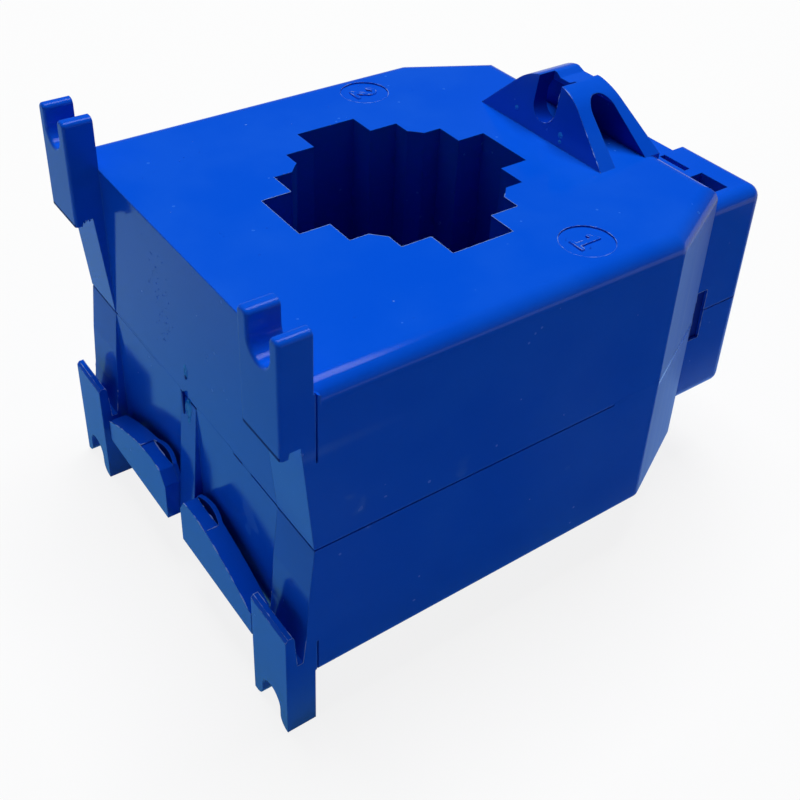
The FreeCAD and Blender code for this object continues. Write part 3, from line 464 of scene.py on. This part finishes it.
def shape_tree(name, sizes):
    """An empty Geometry Nodes tree with named sizes."""
    tree = bpy.data.node_groups.new(name, "GeometryNodeTree")
    tree.interface.new_socket("Geometry", in_out="INPUT", socket_type="NodeSocketGeometry")
    for size in sizes:
        tree.interface.new_socket(size, in_out="INPUT", socket_type="NodeSocketFloat")
    tree.interface.new_socket("Geometry", in_out="OUTPUT", socket_type="NodeSocketGeometry")
    return tree, tree.nodes.new("NodeGroupInput"), tree.nodes.new("NodeGroupOutput")


def end_tree(tree, shape, made, material):
    real = add(tree, "GeometryNodeRealizeInstances", None, Geometry=shape)
    painted = add(tree, "GeometryNodeSetMaterial", None, Geometry=real.outputs[0], Material=material)
    put(tree, painted.outputs[0], made.inputs[0])


def grown(name, tree, sizes, start):
    """The plain mesh that the tree makes from the start mesh with these sizes."""
    source = new_object(f"{name}_start", start)
    modifier = source.modifiers.new("shape", "NODES")
    modifier.node_group = tree
    for socket in tree.interface.items_tree:
        if socket.in_out == "INPUT" and socket.name in sizes:
            modifier[socket.identifier] = float(sizes[socket.name])
    ready = source.evaluated_get(bpy.context.evaluated_depsgraph_get())
    mesh = bpy.data.meshes.new_from_object(ready)
    bpy.data.objects.remove(source)
    mesh.name = name
    return new_object(name, mesh)


def round_axis_tree(name, material):
    """Copies of one turn set round the window axis."""
    tree, given, made = shape_tree(name, ("Count", "Start"))
    points = add(tree, "GeometryNodePoints", None, Count=given.outputs["Count"])
    step = maths(tree, "DIVIDE", 2 * math.pi, given.outputs["Count"])
    index = tree.nodes.new("GeometryNodeInputIndex").outputs[0]
    angle = maths(tree, "MULTIPLY_ADD", index, step, given.outputs["Start"])
    turn = add(tree, "ShaderNodeCombineXYZ", None, Z=angle)
    rotation = add(tree, "FunctionNodeEulerToRotation", None, Euler=turn.outputs[0])
    copies = add(tree, "GeometryNodeInstanceOnPoints", None, Points=points.outputs[0],
                 Instance=given.outputs["Geometry"], Rotation=rotation.outputs[0])
    end_tree(tree, copies.outputs[0], made, material)
    return tree


def thread_tree(name, material):
    """A screw thread along +Z from a spiral."""
    tree, given, made = shape_tree(name, ("Turns", "Radius", "Length", "Ridge"))
    radius = given.outputs["Radius"]
    spiral = add(tree, "GeometryNodeCurveSpiral", None, Resolution=20, Rotations=given.outputs["Turns"],
                 Height=given.outputs["Length"], Start_Radius=radius, End_Radius=radius)
    ridge = add(tree, "GeometryNodeCurvePrimitiveCircle", None, Resolution=4, Radius=given.outputs["Ridge"])
    thread = add(tree, "GeometryNodeCurveToMesh", None, Curve=spiral.outputs[0],
                 Profile_Curve=ridge.outputs[0], Fill_Caps=True)
    end_tree(tree, thread.outputs[0], made, material)
    return tree


def burr_tree(name, material):
    """A ragged thin ridge along each line of the start mesh, for mould flash, for a bead on the top edge and
    for pale ridges painted as highlights.
    """
    tree, given, made = shape_tree(name, ("Radius", "Least", "Step", "Stray", "Seed"))
    line = add(tree, "GeometryNodeMeshToCurve", None, Mesh=given.outputs["Geometry"])
    even = add(tree, "GeometryNodeResampleCurve", {"mode": "LENGTH"}, Curve=line.outputs[0],
               Length=given.outputs["Step"])
    spot = tree.nodes.new("GeometryNodeInputPosition").outputs[0]
    ragged = add(tree, "ShaderNodeTexNoise", {"noise_dimensions": "4D"}, Vector=spot, W=given.outputs["Seed"],
                 Scale=900.0, Detail=2.0)
    centred = add(tree, "ShaderNodeVectorMath", {"operation": "SUBTRACT"}, Vector=ragged.outputs["Color"])
    centred.inputs[1].default_value = (0.5, 0.5, 0.5)
    stray = add(tree, "ShaderNodeVectorMath", {"operation": "SCALE"}, Vector=centred.outputs[0],
                Scale=given.outputs["Stray"])
    moved = add(tree, "GeometryNodeSetPosition", None, Geometry=even.outputs[0], Offset=stray.outputs[0])
    thick = maths(tree, "MULTIPLY", given.outputs["Radius"], step_up(tree, ragged.outputs["Fac"], 0.46, 0.6))
    width = add(tree, "GeometryNodeSetCurveRadius", None, Curve=moved.outputs[0],
                Radius=maths(tree, "MAXIMUM", thick, given.outputs["Least"]))
    ring = add(tree, "GeometryNodeCurvePrimitiveCircle", None, Resolution=5, Radius=1.0)
    radius = tree.nodes.new("GeometryNodeInputRadius").outputs[0]
    ridge = add(tree, "GeometryNodeCurveToMesh", None, Curve=width.outputs[0],
                Profile_Curve=ring.outputs[0], Scale=radius, Fill_Caps=True)
    end_tree(tree, ridge.outputs[0], made, material)
    return tree


def line_mesh(name, points):
    """Edges along a list of points."""
    return mesh_from(name, points, edges=[(index, index + 1) for index in range(len(points) - 1)])


def case_place(point):
    """Millimetres of the case for a point of the frame."""
    return Vector((point.x * 1000 + WINDOW_AXIS, point.y * 1000, point.z * 1000 - SEAM_HEIGHT))


def sharp_edges(node, inside, angle=30.0):
    """The outer edges of a node, within a test on their middles, as a mesh of edges alone."""
    work = bmesh.new()
    work.from_mesh(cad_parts[node].data)
    bmesh.ops.remove_doubles(work, verts=work.verts, dist=2e-6)
    points, edges, numbers = [], [], {}
    for edge in work.edges:
        if len(edge.link_faces) != 2 or not edge.is_convex:
            continue
        if edge.calc_face_angle(0.0) < math.radians(angle):
            continue
        if not inside(case_place((edge.verts[0].co + edge.verts[1].co) / 2)):
            continue
        for vertex in edge.verts:
            if vertex.index not in numbers:
                numbers[vertex.index] = len(points)
                points.append(tuple(vertex.co))
        edges.append(tuple(numbers[vertex.index] for vertex in edge.verts))
    work.free()
    return mesh_from(f"{node}_edges", points, edges=edges)


# Numerals on the discs: raised strokes, their heads towards the terminals

ONE = [(-1.35, -2.2), (1.35, -2.2), (1.35, -1.65), (0.45, -1.65), (0.45, 2.2), (-0.15, 2.2), (-0.45, 1.75),
       (-1.2, 1.35), (-1.2, 0.8), (-0.45, 1.05), (-0.45, -1.65), (-1.35, -1.65)]
# How far a numeral is stretched in height and in width, where it stands and on top
NUMERAL_FOOT, NUMERAL_TOP = (1.04, 1.1), (0.98, 0.96)


def bow(across, up, angles):
    """Points of the two's bow at these angles in degrees."""
    return [(across * math.cos(math.radians(a)), 0.85 + up * math.sin(math.radians(a))) for a in angles]


def two_outline():
    """A plain numeral two: bow, diagonal and foot, drawn as one closed outline."""
    outer = bow(1.3, 1.35, range(170, -41, -15))
    inner = bow(0.6, 0.65, range(-40, 171, 15))
    return outer + [(-0.25, -1.55), (1.4, -1.55), (1.4, -2.2), (-1.4, -2.2), (-1.4, -1.7)] + inner


def numeral_ring(outline, side, stretch, height):
    """The outline of a numeral on its disc, at a height of the case."""
    return [place(DISC_PLACE[0] + v * stretch[0], side * DISC_PLACE[1] - u * stretch[1], height)
            for u, v in outline]


def raised_numeral(name, outline, side):
    count = len(outline)
    points = numeral_ring(outline, side, NUMERAL_FOOT, FRONT_FACE - DISC_DEPTH - 0.05)
    points += numeral_ring(outline, side, NUMERAL_TOP, FRONT_FACE - 0.02)
    faces = [tuple(range(count, 2 * count))]
    faces += [(i, (i + 1) % count, count + (i + 1) % count, count + i) for i in range(count)]
    piece = new_object(name, mesh_from(name, points, faces))
    return outward(piece)


def outward(piece):
    """Merges doubles and turns the faces of a made mesh outwards."""
    work = bmesh.new()
    work.from_mesh(piece.data)
    bmesh.ops.remove_doubles(work, verts=work.verts, dist=1e-7)
    bmesh.ops.recalc_face_normals(work, faces=work.faces)
    work.to_mesh(piece.data)
    work.free()
    return piece


BURR = burr_tree("flash_and_highlight_ridge", flash_highlight_blue)
for name, outline, side in (("mark_one", ONE, -1), ("mark_two", two_outline(), 1)):
    dress(raised_numeral(name, outline, side), case_fill)
    # A pale ridge round the top of each numeral, painted as a highlight
    ring = numeral_ring(outline, side, NUMERAL_TOP, FRONT_FACE - 0.01)
    edges = [(index, (index + 1) % len(ring)) for index in range(len(ring))]
    sizes = {"Radius": 0.00006, "Least": 0.000005, "Step": 0.0002, "Stray": 0.00003, "Seed": 30.0 + side}
    dress(grown(f"{name}_flash", BURR, sizes, mesh_from(f"{name}_ring", ring, edges=edges)), flash_highlight_blue)

# Flash of the mould along its parting edges, and pale ridges painted as highlights on the window's near rim
# and on the discs


def kept_inside(piece, trim=0.00001):
    """Trims what would stand out of the size of the case."""
    for vertex in piece.data.vertices:
        vertex.co = [min(max(value, low + trim), high - trim)
                     for value, low, high in zip(vertex.co, cad_low, cad_high)]
    return piece


def near_side(point):
    """True on the side of the window where its rim catches the light."""
    return (point.x - WINDOW_AXIS) * 0.6 + point.y * 0.8 < -3.0


def near_disc(point):
    """True within 7 mm of the middle of either disc."""
    return any((point.x - DISC_PLACE[0]) ** 2 + (point.y - side * DISC_PLACE[1]) ** 2 < 7 ** 2
               for side in (-1, 1))


def arm_edge(point):
    """The long edges, slits and creases of the spring arms, but not the short edge at the tip."""
    return point.x < -1.6 and 4.15 < abs(point.y) < 24.2 and point.z > -21


# Name, node, a test on the middle of an edge, then radius, least radius and stray in millimetres
flash_lines = (
    ("arm_flash", "back_shell", arm_edge, 0.1, 0.005, 0.1),
    ("bracket_flash", "front_shell",
     lambda p: BRACKET_START - 1 < p.x < BRACKET_START + 2.2 and p.z > 26.2 and p.y < 0, 0.1, 0.005, 0.1),
    # A pale ridge painted as a highlight on the near rim of the window
    ("window_rim_highlight", "front_shell",
     lambda p: abs(p.z - FRONT_FACE) < 0.1 and abs(p.x - WINDOW_AXIS) < 22 and abs(p.y) < 21 and near_side(p),
     0.05, 0.035, 0.01),
    # A pale ridge painted as a highlight round the rims of the discs
    ("disc_rim_highlight", "front_shell",
     lambda p: abs(p.z - FRONT_FACE) < 0.05 and near_disc(p), 0.045, 0.008, 0.02),
    ("hook_flash", "back_shell",
     lambda p: p.x < -1.5 and abs(p.y) > 25 and -24 < p.z < -12, 0.07, 0.004, 0.08),
    ("box_flash", "front_shell",
     lambda p: p.x > 79 and abs(p.y) > 25.2 and 0.2 < p.z < 4.4, 0.06, 0.03, 0.05),
    ("box_back_flash", "back_shell",
     lambda p: p.x > 79 and abs(p.y) > 25.2 and -5.8 < p.z < -0.2, 0.06, 0.03, 0.05))
for seed, (name, node, inside, thickness, least, stray) in enumerate(flash_lines):
    sizes = {"Radius": thickness / 1000, "Least": least / 1000, "Step": 0.0003, "Stray": stray / 1000,
             "Seed": seed * 7.0}
    dress(kept_inside(grown(name, BURR, sizes, sharp_edges(node, inside))), flash_highlight_blue)


def box_mesh(name, boxes):
    """Closed boxes between two corners each."""
    points, faces = [], []
    for low, high in boxes:
        first = len(points)
        points += [place(x, y, z) for z in (low[2], high[2]) for y in (low[1], high[1])
                   for x in (low[0], high[0])]
        faces += [tuple(first + i for i in face) for face in
                  ((0, 2, 3, 1), (4, 5, 7, 6), (0, 1, 5, 4), (2, 6, 7, 3), (0, 4, 6, 2), (1, 3, 7, 5))]
    return mesh_from(name, points, faces)


def strip_prism(points, faces, way, low, high):
    """Adds a filler of the seam's groove between two points of the outline, from low to high."""
    start, end = (Vector(point) for point in way)
    along = (end - start).normalized()
    inwards = Vector((-along.y, along.x))
    first = len(points)
    for spot in (start - inwards * SEAM_PROUD, end - inwards * SEAM_PROUD, end + inwards * SEAM_GROOVE,
                 start + inwards * SEAM_GROOVE):
        points += [place(spot.x, spot.y, low), place(spot.x, spot.y, high)]
    faces += [tuple(first + i for i in face) for face in
              ((0, 2, 3, 1), (2, 4, 5, 3), (4, 6, 7, 5), (6, 0, 1, 7), (1, 3, 5, 7), (6, 4, 2, 0))]


def closed_seam():
    """The seam is pressed shut on most of the feet end, a stretch of one side and the slanted corners."""
    points, faces = [], []
    lip = 0.45
    for start, end, gap in ((24.9, 9.0, 0.03), (9.0, 2.6, 0.0), (-2.6, -13.7, 0.0), (-16.2, -18.6, 0.03)):
        strip_prism(points, faces, ((0.0, start), (0.0, end)), -lip, -gap)
        strip_prism(points, faces, ((0.0, start), (0.0, end)), gap, lip)
    side = ((52.0, -HALF_WIDTH), (61.3, -HALF_WIDTH))
    near_corner = ((CORNER_START[0], -CORNER_START[1]), (CORNER_END[0], -CORNER_END[1]))
    for way in (side, near_corner, (CORNER_END, CORNER_START)):
        strip_prism(points, faces, way, -lip, lip)
    return mesh_from("closed_seam", points, faces)


dress(outward(new_object("closed_seam", closed_seam())), case_fill)


def torn_lip():
    """Shreds that hang from the ledge of the far front foot."""
    points, faces = [], []
    top = 18.25
    for start, end, tip in ((-3.35, -2.95, 17.75), (-2.95, -2.6, 17.95), (-2.5, -2.15, 17.8),
                            (-2.1, -1.85, 18.05)):
        first = len(points)
        for y in (COLUMN_INNER, COLUMN_INNER + 0.25):
            points += [place(start, y, top), place(start + 0.05, y, tip + 0.08),
                       place((start + end) / 2, y, tip), place(end - 0.05, y, tip + 0.1), place(end, y, top)]
        faces += [tuple(first + i for i in range(5)), tuple(first + 9 - i for i in range(5))]
        faces += [(first + i, first + (i + 1) % 5, first + 5 + (i + 1) % 5, first + 5 + i) for i in range(5)]
    return mesh_from("torn_lip", points, faces)


dress(outward(new_object("torn_lip", torn_lip())), case_blue)

# Scars of moulding on the feet end and on the bracket


def scar(name, centre, across, up, size, height, seed, squash=1.0):
    """A small uneven raised patch that sits on a face."""
    dice = random.Random(seed)
    out = across.cross(up).normalized()
    rings, spokes = 4, 14
    points = [centre + out * height * 0.8]
    for ring in range(1, rings + 1):
        for spoke in range(spokes):
            angle = 2 * math.pi * spoke / spokes
            reach = size * ring / rings * dice.uniform(0.85, 1.15)
            rise = height * (1 - (ring / rings) ** 2) * dice.uniform(0.3, 1.2)
            rise -= height * 0.3 if ring == rings else 0
            points.append(centre + across * reach * math.cos(angle) + up * reach * squash * math.sin(angle)
                          + out * rise)
    faces = [(0, 1 + s, 1 + (s + 1) % spokes) for s in range(spokes)]
    for ring in range(rings - 1):
        for s in range(spokes):
            a, b = 1 + ring * spokes + s, 1 + ring * spokes + (s + 1) % spokes
            faces.append((a, a + spokes, b + spokes, b))
    faces.append(tuple(1 + (rings - 1) * spokes + s for s in reversed(range(spokes))))
    return new_object(name, mesh_from(name, points, faces))


TO_LEFT, UP = Vector((0, -1, 0)), Vector((0, 0, 1))
TONGUE_LEAN = Vector((0.082, 0, 1)).normalized()
scars = (("gate_scar", place(-0.15, -0.1, -1.5), TONGUE_LEAN, 0.0012, 0.00035, 11, 1.6),
         ("gate_drip", place(-0.3, -0.4, -3.6), TONGUE_LEAN, 0.0005, 0.0002, 13, 1.6),
         ("ejector_scar", place(0.0, 0.3, 5.1), UP, 0.0007, 0.0002, 12, 2.0))
for name, centre, up, size, height, seed, squash in scars:
    dress(scar(name, centre, TO_LEFT, up, size, height, seed, squash), scar_teal)
# Painted shade: dark boxes for the slits beside two of the scars and an open stretch of the seam, and for the
# floors of the latch slots
notch_shade_boxes = [((-0.42, 1.1, -3.4), (0.1, 1.5, 0.5)), ((-0.16, 0.1, 3.7), (0.1, 0.45, 4.3)),
               ((-0.03, -16.2, -0.1), (0.1, -13.7, 0.14))]
dress(new_object("gate_notch_shade", box_mesh("gate_notch_shade", notch_shade_boxes)), notch_shade)
latch_boxes = [((CASE_LENGTH + 2.45, side * LATCH_FLOOR - 0.05, -5.65),
                (CASE_LENGTH + 4.95, side * LATCH_FLOOR + 0.05, 4.25)) for side in (-1, 1)]
dress(new_object("latch_shade", box_mesh("latch_shade", latch_boxes)), notch_shade)
lean = Vector((BRACKET_LEAN[0], 0, BRACKET_LEAN[1])).normalized()
for index, (y, z, size) in enumerate(((6.09, 28.36, 0.0005), (-4.69, 27.98, 0.0006), (-4.84, 26.96, 0.0004))):
    spot = place(BRACKET_START + BRACKET_LEAN[0] * (z - FRONT_FACE) / BRACKET_LEAN[1], y, z)
    dress(scar(f"bracket_scar_{index}", spot, TO_LEFT, lean, size, 0.0001, 20 + index), scar_teal)


def pimples(name, spots, out, seed):
    """Small low domes on a face: dirt under the tool's polish and dust in the plastic."""
    dice = random.Random(seed)
    across = Vector((0, 1, 0))
    up = out.cross(across).normalized()
    points, faces = [], []
    for spot in spots:
        first = len(points)
        size, height = dice.uniform(0.00008, 0.0002), dice.uniform(0.00003, 0.00007)
        points.append(spot + out * height)
        for reach, rise in ((0.6, 0.75), (1.0, -0.2)):
            for spoke in range(6):
                angle = math.pi / 3 * spoke
                way = across * math.cos(angle) * dice.uniform(0.8, 1.2) + up * math.sin(angle)
                points.append(spot + way * size * reach + out * height * rise)
        inner, outer = first + 1, first + 7
        faces += [(first, inner + i, inner + (i + 1) % 6) for i in range(6)]
        faces += [(inner + i, outer + i, outer + (i + 1) % 6, inner + (i + 1) % 6) for i in range(6)]
        faces.append(tuple(first + 12 - i for i in range(6)))
    return outward(new_object(name, mesh_from(name, points, faces)))


dice = random.Random(41)
feet_spots = [place(0.0, dice.gauss(7.0, 1.8), dice.gauss(13.0, 4.0)) for index in range(55)]
top_spots = []
while len(top_spots) < 26:
    x, y = dice.uniform(3, 58), dice.uniform(-31, 31)
    if abs(x - WINDOW_AXIS) > 23 or abs(y) > 22:
        top_spots.append(place(x, y, FRONT_FACE))
dress(pimples("feet_end_pimples", feet_spots, Vector((-1, 0, 0)), 5), case_fill)
dress(pimples("front_pimples", top_spots[:18], Vector((0, 0, 1)), 6), case_fill)
dress(pimples("front_dust", top_spots[18:], Vector((0, 0, 1)), 7), dust_blue)
edge_line = [place(0.14, -25.5 + 51 * t / 40, FRONT_FACE - 0.14) for t in range(41)]
sizes = {"Radius": 0.0002, "Least": 0.0002, "Step": 0.001, "Stray": 0.0, "Seed": 1.0}
dress(grown("top_edge_bead", BURR, sizes, line_mesh("edge_line", edge_line)), case_blue)

# Winding, tape and threads


def turn_outline(inset, corner, steps=3):
    """A round-cornered rectangle in radius and height about the section of the toroid."""
    near, far = TORUS_RADII[0] + inset, TORUS_RADII[1] - inset
    low, high = TORUS_MIDDLE - TORUS_HALF + inset, TORUS_MIDDLE + TORUS_HALF - inset
    points = []
    for x, z, start in ((far - corner, high - corner, 0), (near + corner, high - corner, 90),
                        (near + corner, low + corner, 180), (far - corner, low + corner, 270)):
        for step in range(steps + 1):
            angle = math.radians(start + 90 * step / steps)
            points.append((x + corner * math.cos(angle), z + corner * math.sin(angle)))
    return points


def wire_turn(name, inset, radius, sides=5):
    """One closed turn of round wire."""
    path = [Vector((r, 0, z)) for r, z in turn_outline(inset, 0.9)]
    count = len(path)
    points, faces = [], []
    for index, point in enumerate(path):
        along = (path[(index + 1) % count] - path[index - 1]).normalized()
        outwards = along.cross(Vector((0, 1, 0)))
        for side in range(sides):
            angle = 2 * math.pi * side / sides
            offset = outwards * radius * math.cos(angle) + Vector((0, 1, 0)) * radius * math.sin(angle)
            points.append((point + offset) / 1000 + Vector((0, 0, SEAM_HEIGHT / 1000)))
    for index in range(count):
        for side in range(sides):
            a, b = index * sides + side, index * sides + (side + 1) % sides
            following = (index + 1) % count * sides
            faces.append((a, b, following + (side + 1) % sides, following + side))
    return mesh_from(name, points, faces)


def tape_turn(name, inset, half_angle, lift, columns=4):
    """One lap of film tape; its second edge lies over the first edge of the next lap."""
    points, faces = [], []
    outline = turn_outline(inset, 0.8)
    count = len(outline)
    middle = ((TORUS_RADII[0] + TORUS_RADII[1]) / 2, TORUS_MIDDLE)
    for column in range(columns + 1):
        share = column / columns
        angle = half_angle * (2 * share - 1)
        for r, z in outline:
            out = Vector((r - middle[0], 0, z - middle[1])).normalized() * lift * share
            point = Matrix.Rotation(angle, 3, "Z") @ (Vector((r, 0, z)) + out)
            points.append((point + Vector((0, 0, SEAM_HEIGHT))) / 1000)
    for column in range(columns):
        for index in range(count):
            a, b = column * count + index, column * count + (index + 1) % count
            faces.append((a, b, b + count, a + count))
    return mesh_from(name, points, faces)


TURNS = 236
TAPE_LAPS = 40
WIRE_RADIUS = 0.29
LAPS = round_axis_tree("laps_round_axis", winding_wire)
layers = []
for name, inset, start in (("outer_turns", 0.56, 0.0), ("inner_turns", 1.12, math.pi / TURNS)):
    wire = wire_turn(f"{name}_wire", inset, WIRE_RADIUS)
    layers.append(grown(name, LAPS, {"Count": TURNS, "Start": start}, wire))
for layer in layers:
    outward(layer)
    dress(layer, winding_wire)
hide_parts("secondary_winding")

TAPE_ROUND = round_axis_tree("tape_round_axis", tape_film)
tape = grown("tape_laps", TAPE_ROUND, {"Count": TAPE_LAPS, "Start": 0.02},
             tape_turn("tape_lap", 0.16, 1.9 * math.pi / TAPE_LAPS, 0.08))
solid = tape.modifiers.new("film", "SOLIDIFY")
solid.thickness = 0.00004
solid.offset = 0.0
flat = bpy.data.meshes.new_from_object(tape.evaluated_get(bpy.context.evaluated_depsgraph_get()))
tape.modifiers.clear()
tape.data = flat
dress(tape, tape_film)
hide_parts("winding_tape")

THREAD = thread_tree("screw_thread", screw_steel)
THREAD_LENGTH = (SHANK_ENDS[1] - SHANK_ENDS[0]) / 1000
THREAD_PITCH = 0.0005
for mark, side in (("s1", -1), ("s2", 1)):
    sizes = {"Turns": THREAD_LENGTH / THREAD_PITCH, "Radius": 0.00142, "Length": THREAD_LENGTH,
             "Ridge": 0.00012}
    thread = grown(f"thread_{mark}", THREAD, sizes, mesh_from("thread_start", []))
    thread.data.transform(Matrix.Translation(place(SHANK_ENDS[0], side * TERMINAL_SIDE, TERMINAL_HEIGHT))
                          @ Matrix.Rotation(math.pi / 2, 4, "Y"))
    dress(thread, screw_steel, f"clamp_screw_{mark}")

# Floor, light and camera


def stage_plane(name, size, height):
    corners = [(-size, -size, height), (size, -size, height), (size, size, height), (-size, size, height)]
    plane = new_object(name, mesh_from(name, corners, [(0, 1, 2, 3)]))
    return plane


def studio_floor():
    """White for the camera with the shadow kept, a light table for the sides, a pale sheen in their gloss,
    and a shadow painted under the case and before its near side.
    """
    material, tree, shader = new_material("pale_floor")
    output = tree.nodes["Material Output"]
    shader.inputs["Roughness"].default_value = 0.9
    shader.inputs["Specular IOR Level"].default_value = 0.1
    paths = tree.nodes.new("ShaderNodeLightPath")
    camera_ray, glossy_ray = paths.outputs["Is Camera Ray"], paths.outputs["Is Glossy Ray"]
    spot = add(tree, "ShaderNodeSeparateXYZ", None, Vector=object_place(tree))
    tint = blend_colour(tree, step_up(tree, spot.outputs["Y"], 0.02, 0.09), NEAR_SHEEN, SHEEN_COLOUR)
    tint = blend_colour(tree, step_up(tree, spot.outputs["X"], 0.02, 0.04), tint, VIOLET_SHEEN)
    # Painted shadow in the gloss: the floor before the near side is dim
    sheen = blend_colour(tree, step_up(tree, spot.outputs["Y"], -0.046, -0.034), SHADOWED_SHEEN, tint)
    sheen = blend_colour(tree, step_up(tree, spot.outputs["X"], 0.12, 0.17), sheen, PLAIN_SHEEN)
    # Painted shadow under the case's footprint, for all rays but the camera's
    across = maths(tree, "LESS_THAN", maths(tree, "ABSOLUTE", spot.outputs["Y"]), 0.034)
    along = maths(tree, "LESS_THAN", maths(tree, "ABSOLUTE", spot.outputs["X"]), 0.036)
    under = maths(tree, "MULTIPLY", across, along)
    sheen = blend_colour(tree, under, sheen, SHEEN_SHADOW)
    table = blend_colour(tree, under, TABLE_COLOUR, TABLE_SHADOW)
    put(tree, blend_colour(tree, camera_ray, table, (0.85, 0.85, 0.85, 1)), shader.inputs["Base Color"])
    glow = add(tree, "ShaderNodeEmission", None, Color=blend_colour(tree, camera_ray, sheen, (1, 1, 1, 1)))
    blend = tree.nodes.new("ShaderNodeMixShader")
    put(tree, maths(tree, "MULTIPLY_ADD", camera_ray, FLOOR_WHITE, glossy_ray, clamp=True), blend.inputs[0])
    put(tree, shader.outputs[0], blend.inputs[1])
    put(tree, glow.outputs[0], blend.inputs[2])
    put(tree, blend.outputs[0], output.inputs[0])
    return material


def studio_world():
    world = bpy.data.worlds.new("studio_world")
    world.use_nodes = True
    tree = world.node_tree
    tree.nodes.clear()
    output = tree.nodes.new("ShaderNodeOutputWorld")
    generated = tree.nodes.new("ShaderNodeTexCoord").outputs["Generated"]
    height = add(tree, "ShaderNodeSeparateXYZ", None, Vector=generated).outputs["Z"]
    room = add(tree, "ShaderNodeBackground", None,
               Color=blend_colour(tree, step_up(tree, height, 0.1, 0.6), HORIZON_COLOUR, ZENITH_COLOUR))
    white = add(tree, "ShaderNodeBackground", None, Color=(1, 1, 1, 1))
    blend = tree.nodes.new("ShaderNodeMixShader")
    put(tree, tree.nodes.new("ShaderNodeLightPath").outputs["Is Camera Ray"], blend.inputs[0])
    put(tree, room.outputs[0], blend.inputs[1])
    put(tree, white.outputs[0], blend.inputs[2])
    put(tree, blend.outputs[0], output.inputs[0])
    return world


def softbox(name, spot, target, size, power, shines=True):
    light = bpy.data.lights.new(name, "AREA")
    light.shape = "RECTANGLE"
    light.size, light.size_y = size
    light.energy = power
    lamp = new_object(name, light)
    lamp.location = spot
    lamp.rotation_euler = (Vector(target) - Vector(spot)).to_track_quat("-Z", "Y").to_euler()
    lamp.visible_glossy = shines


def photo_camera():
    """The camera that was fitted to the photograph."""
    right = Vector((0.817141, -0.57534, 0.035547))
    up = Vector((0.296278, 0.472093, 0.830269))
    back = right.cross(up)
    data = bpy.data.cameras.new("photo_camera")
    data.lens = 52.4256
    data.sensor_width = 36.0
    data.shift_y = -0.1625
    data.clip_start = 0.01
    camera = new_object("photo_camera", data)
    turn = Matrix((right, up, back)).transposed().to_4x4()
    camera.matrix_world = Matrix.Translation((-0.08974, -0.12254, 0.14528)) @ turn
    return camera


scene = bpy.context.scene
stage_plane("floor", 3.0, -0.0002).data.materials.append(studio_floor())
scene.world = studio_world()
softbox("soft_light", (0.145, 0.17, 0.93), (0.145, 0.17, 0.0), (0.58, 0.5), 7.2, shines=False)
softbox("gloss_light", (0.145, 0.17, 0.94), (0.145, 0.17, 0.0), (0.58, 0.5), 2.2)
scene.camera = photo_camera()
scene.view_settings.view_transform = "Standard"
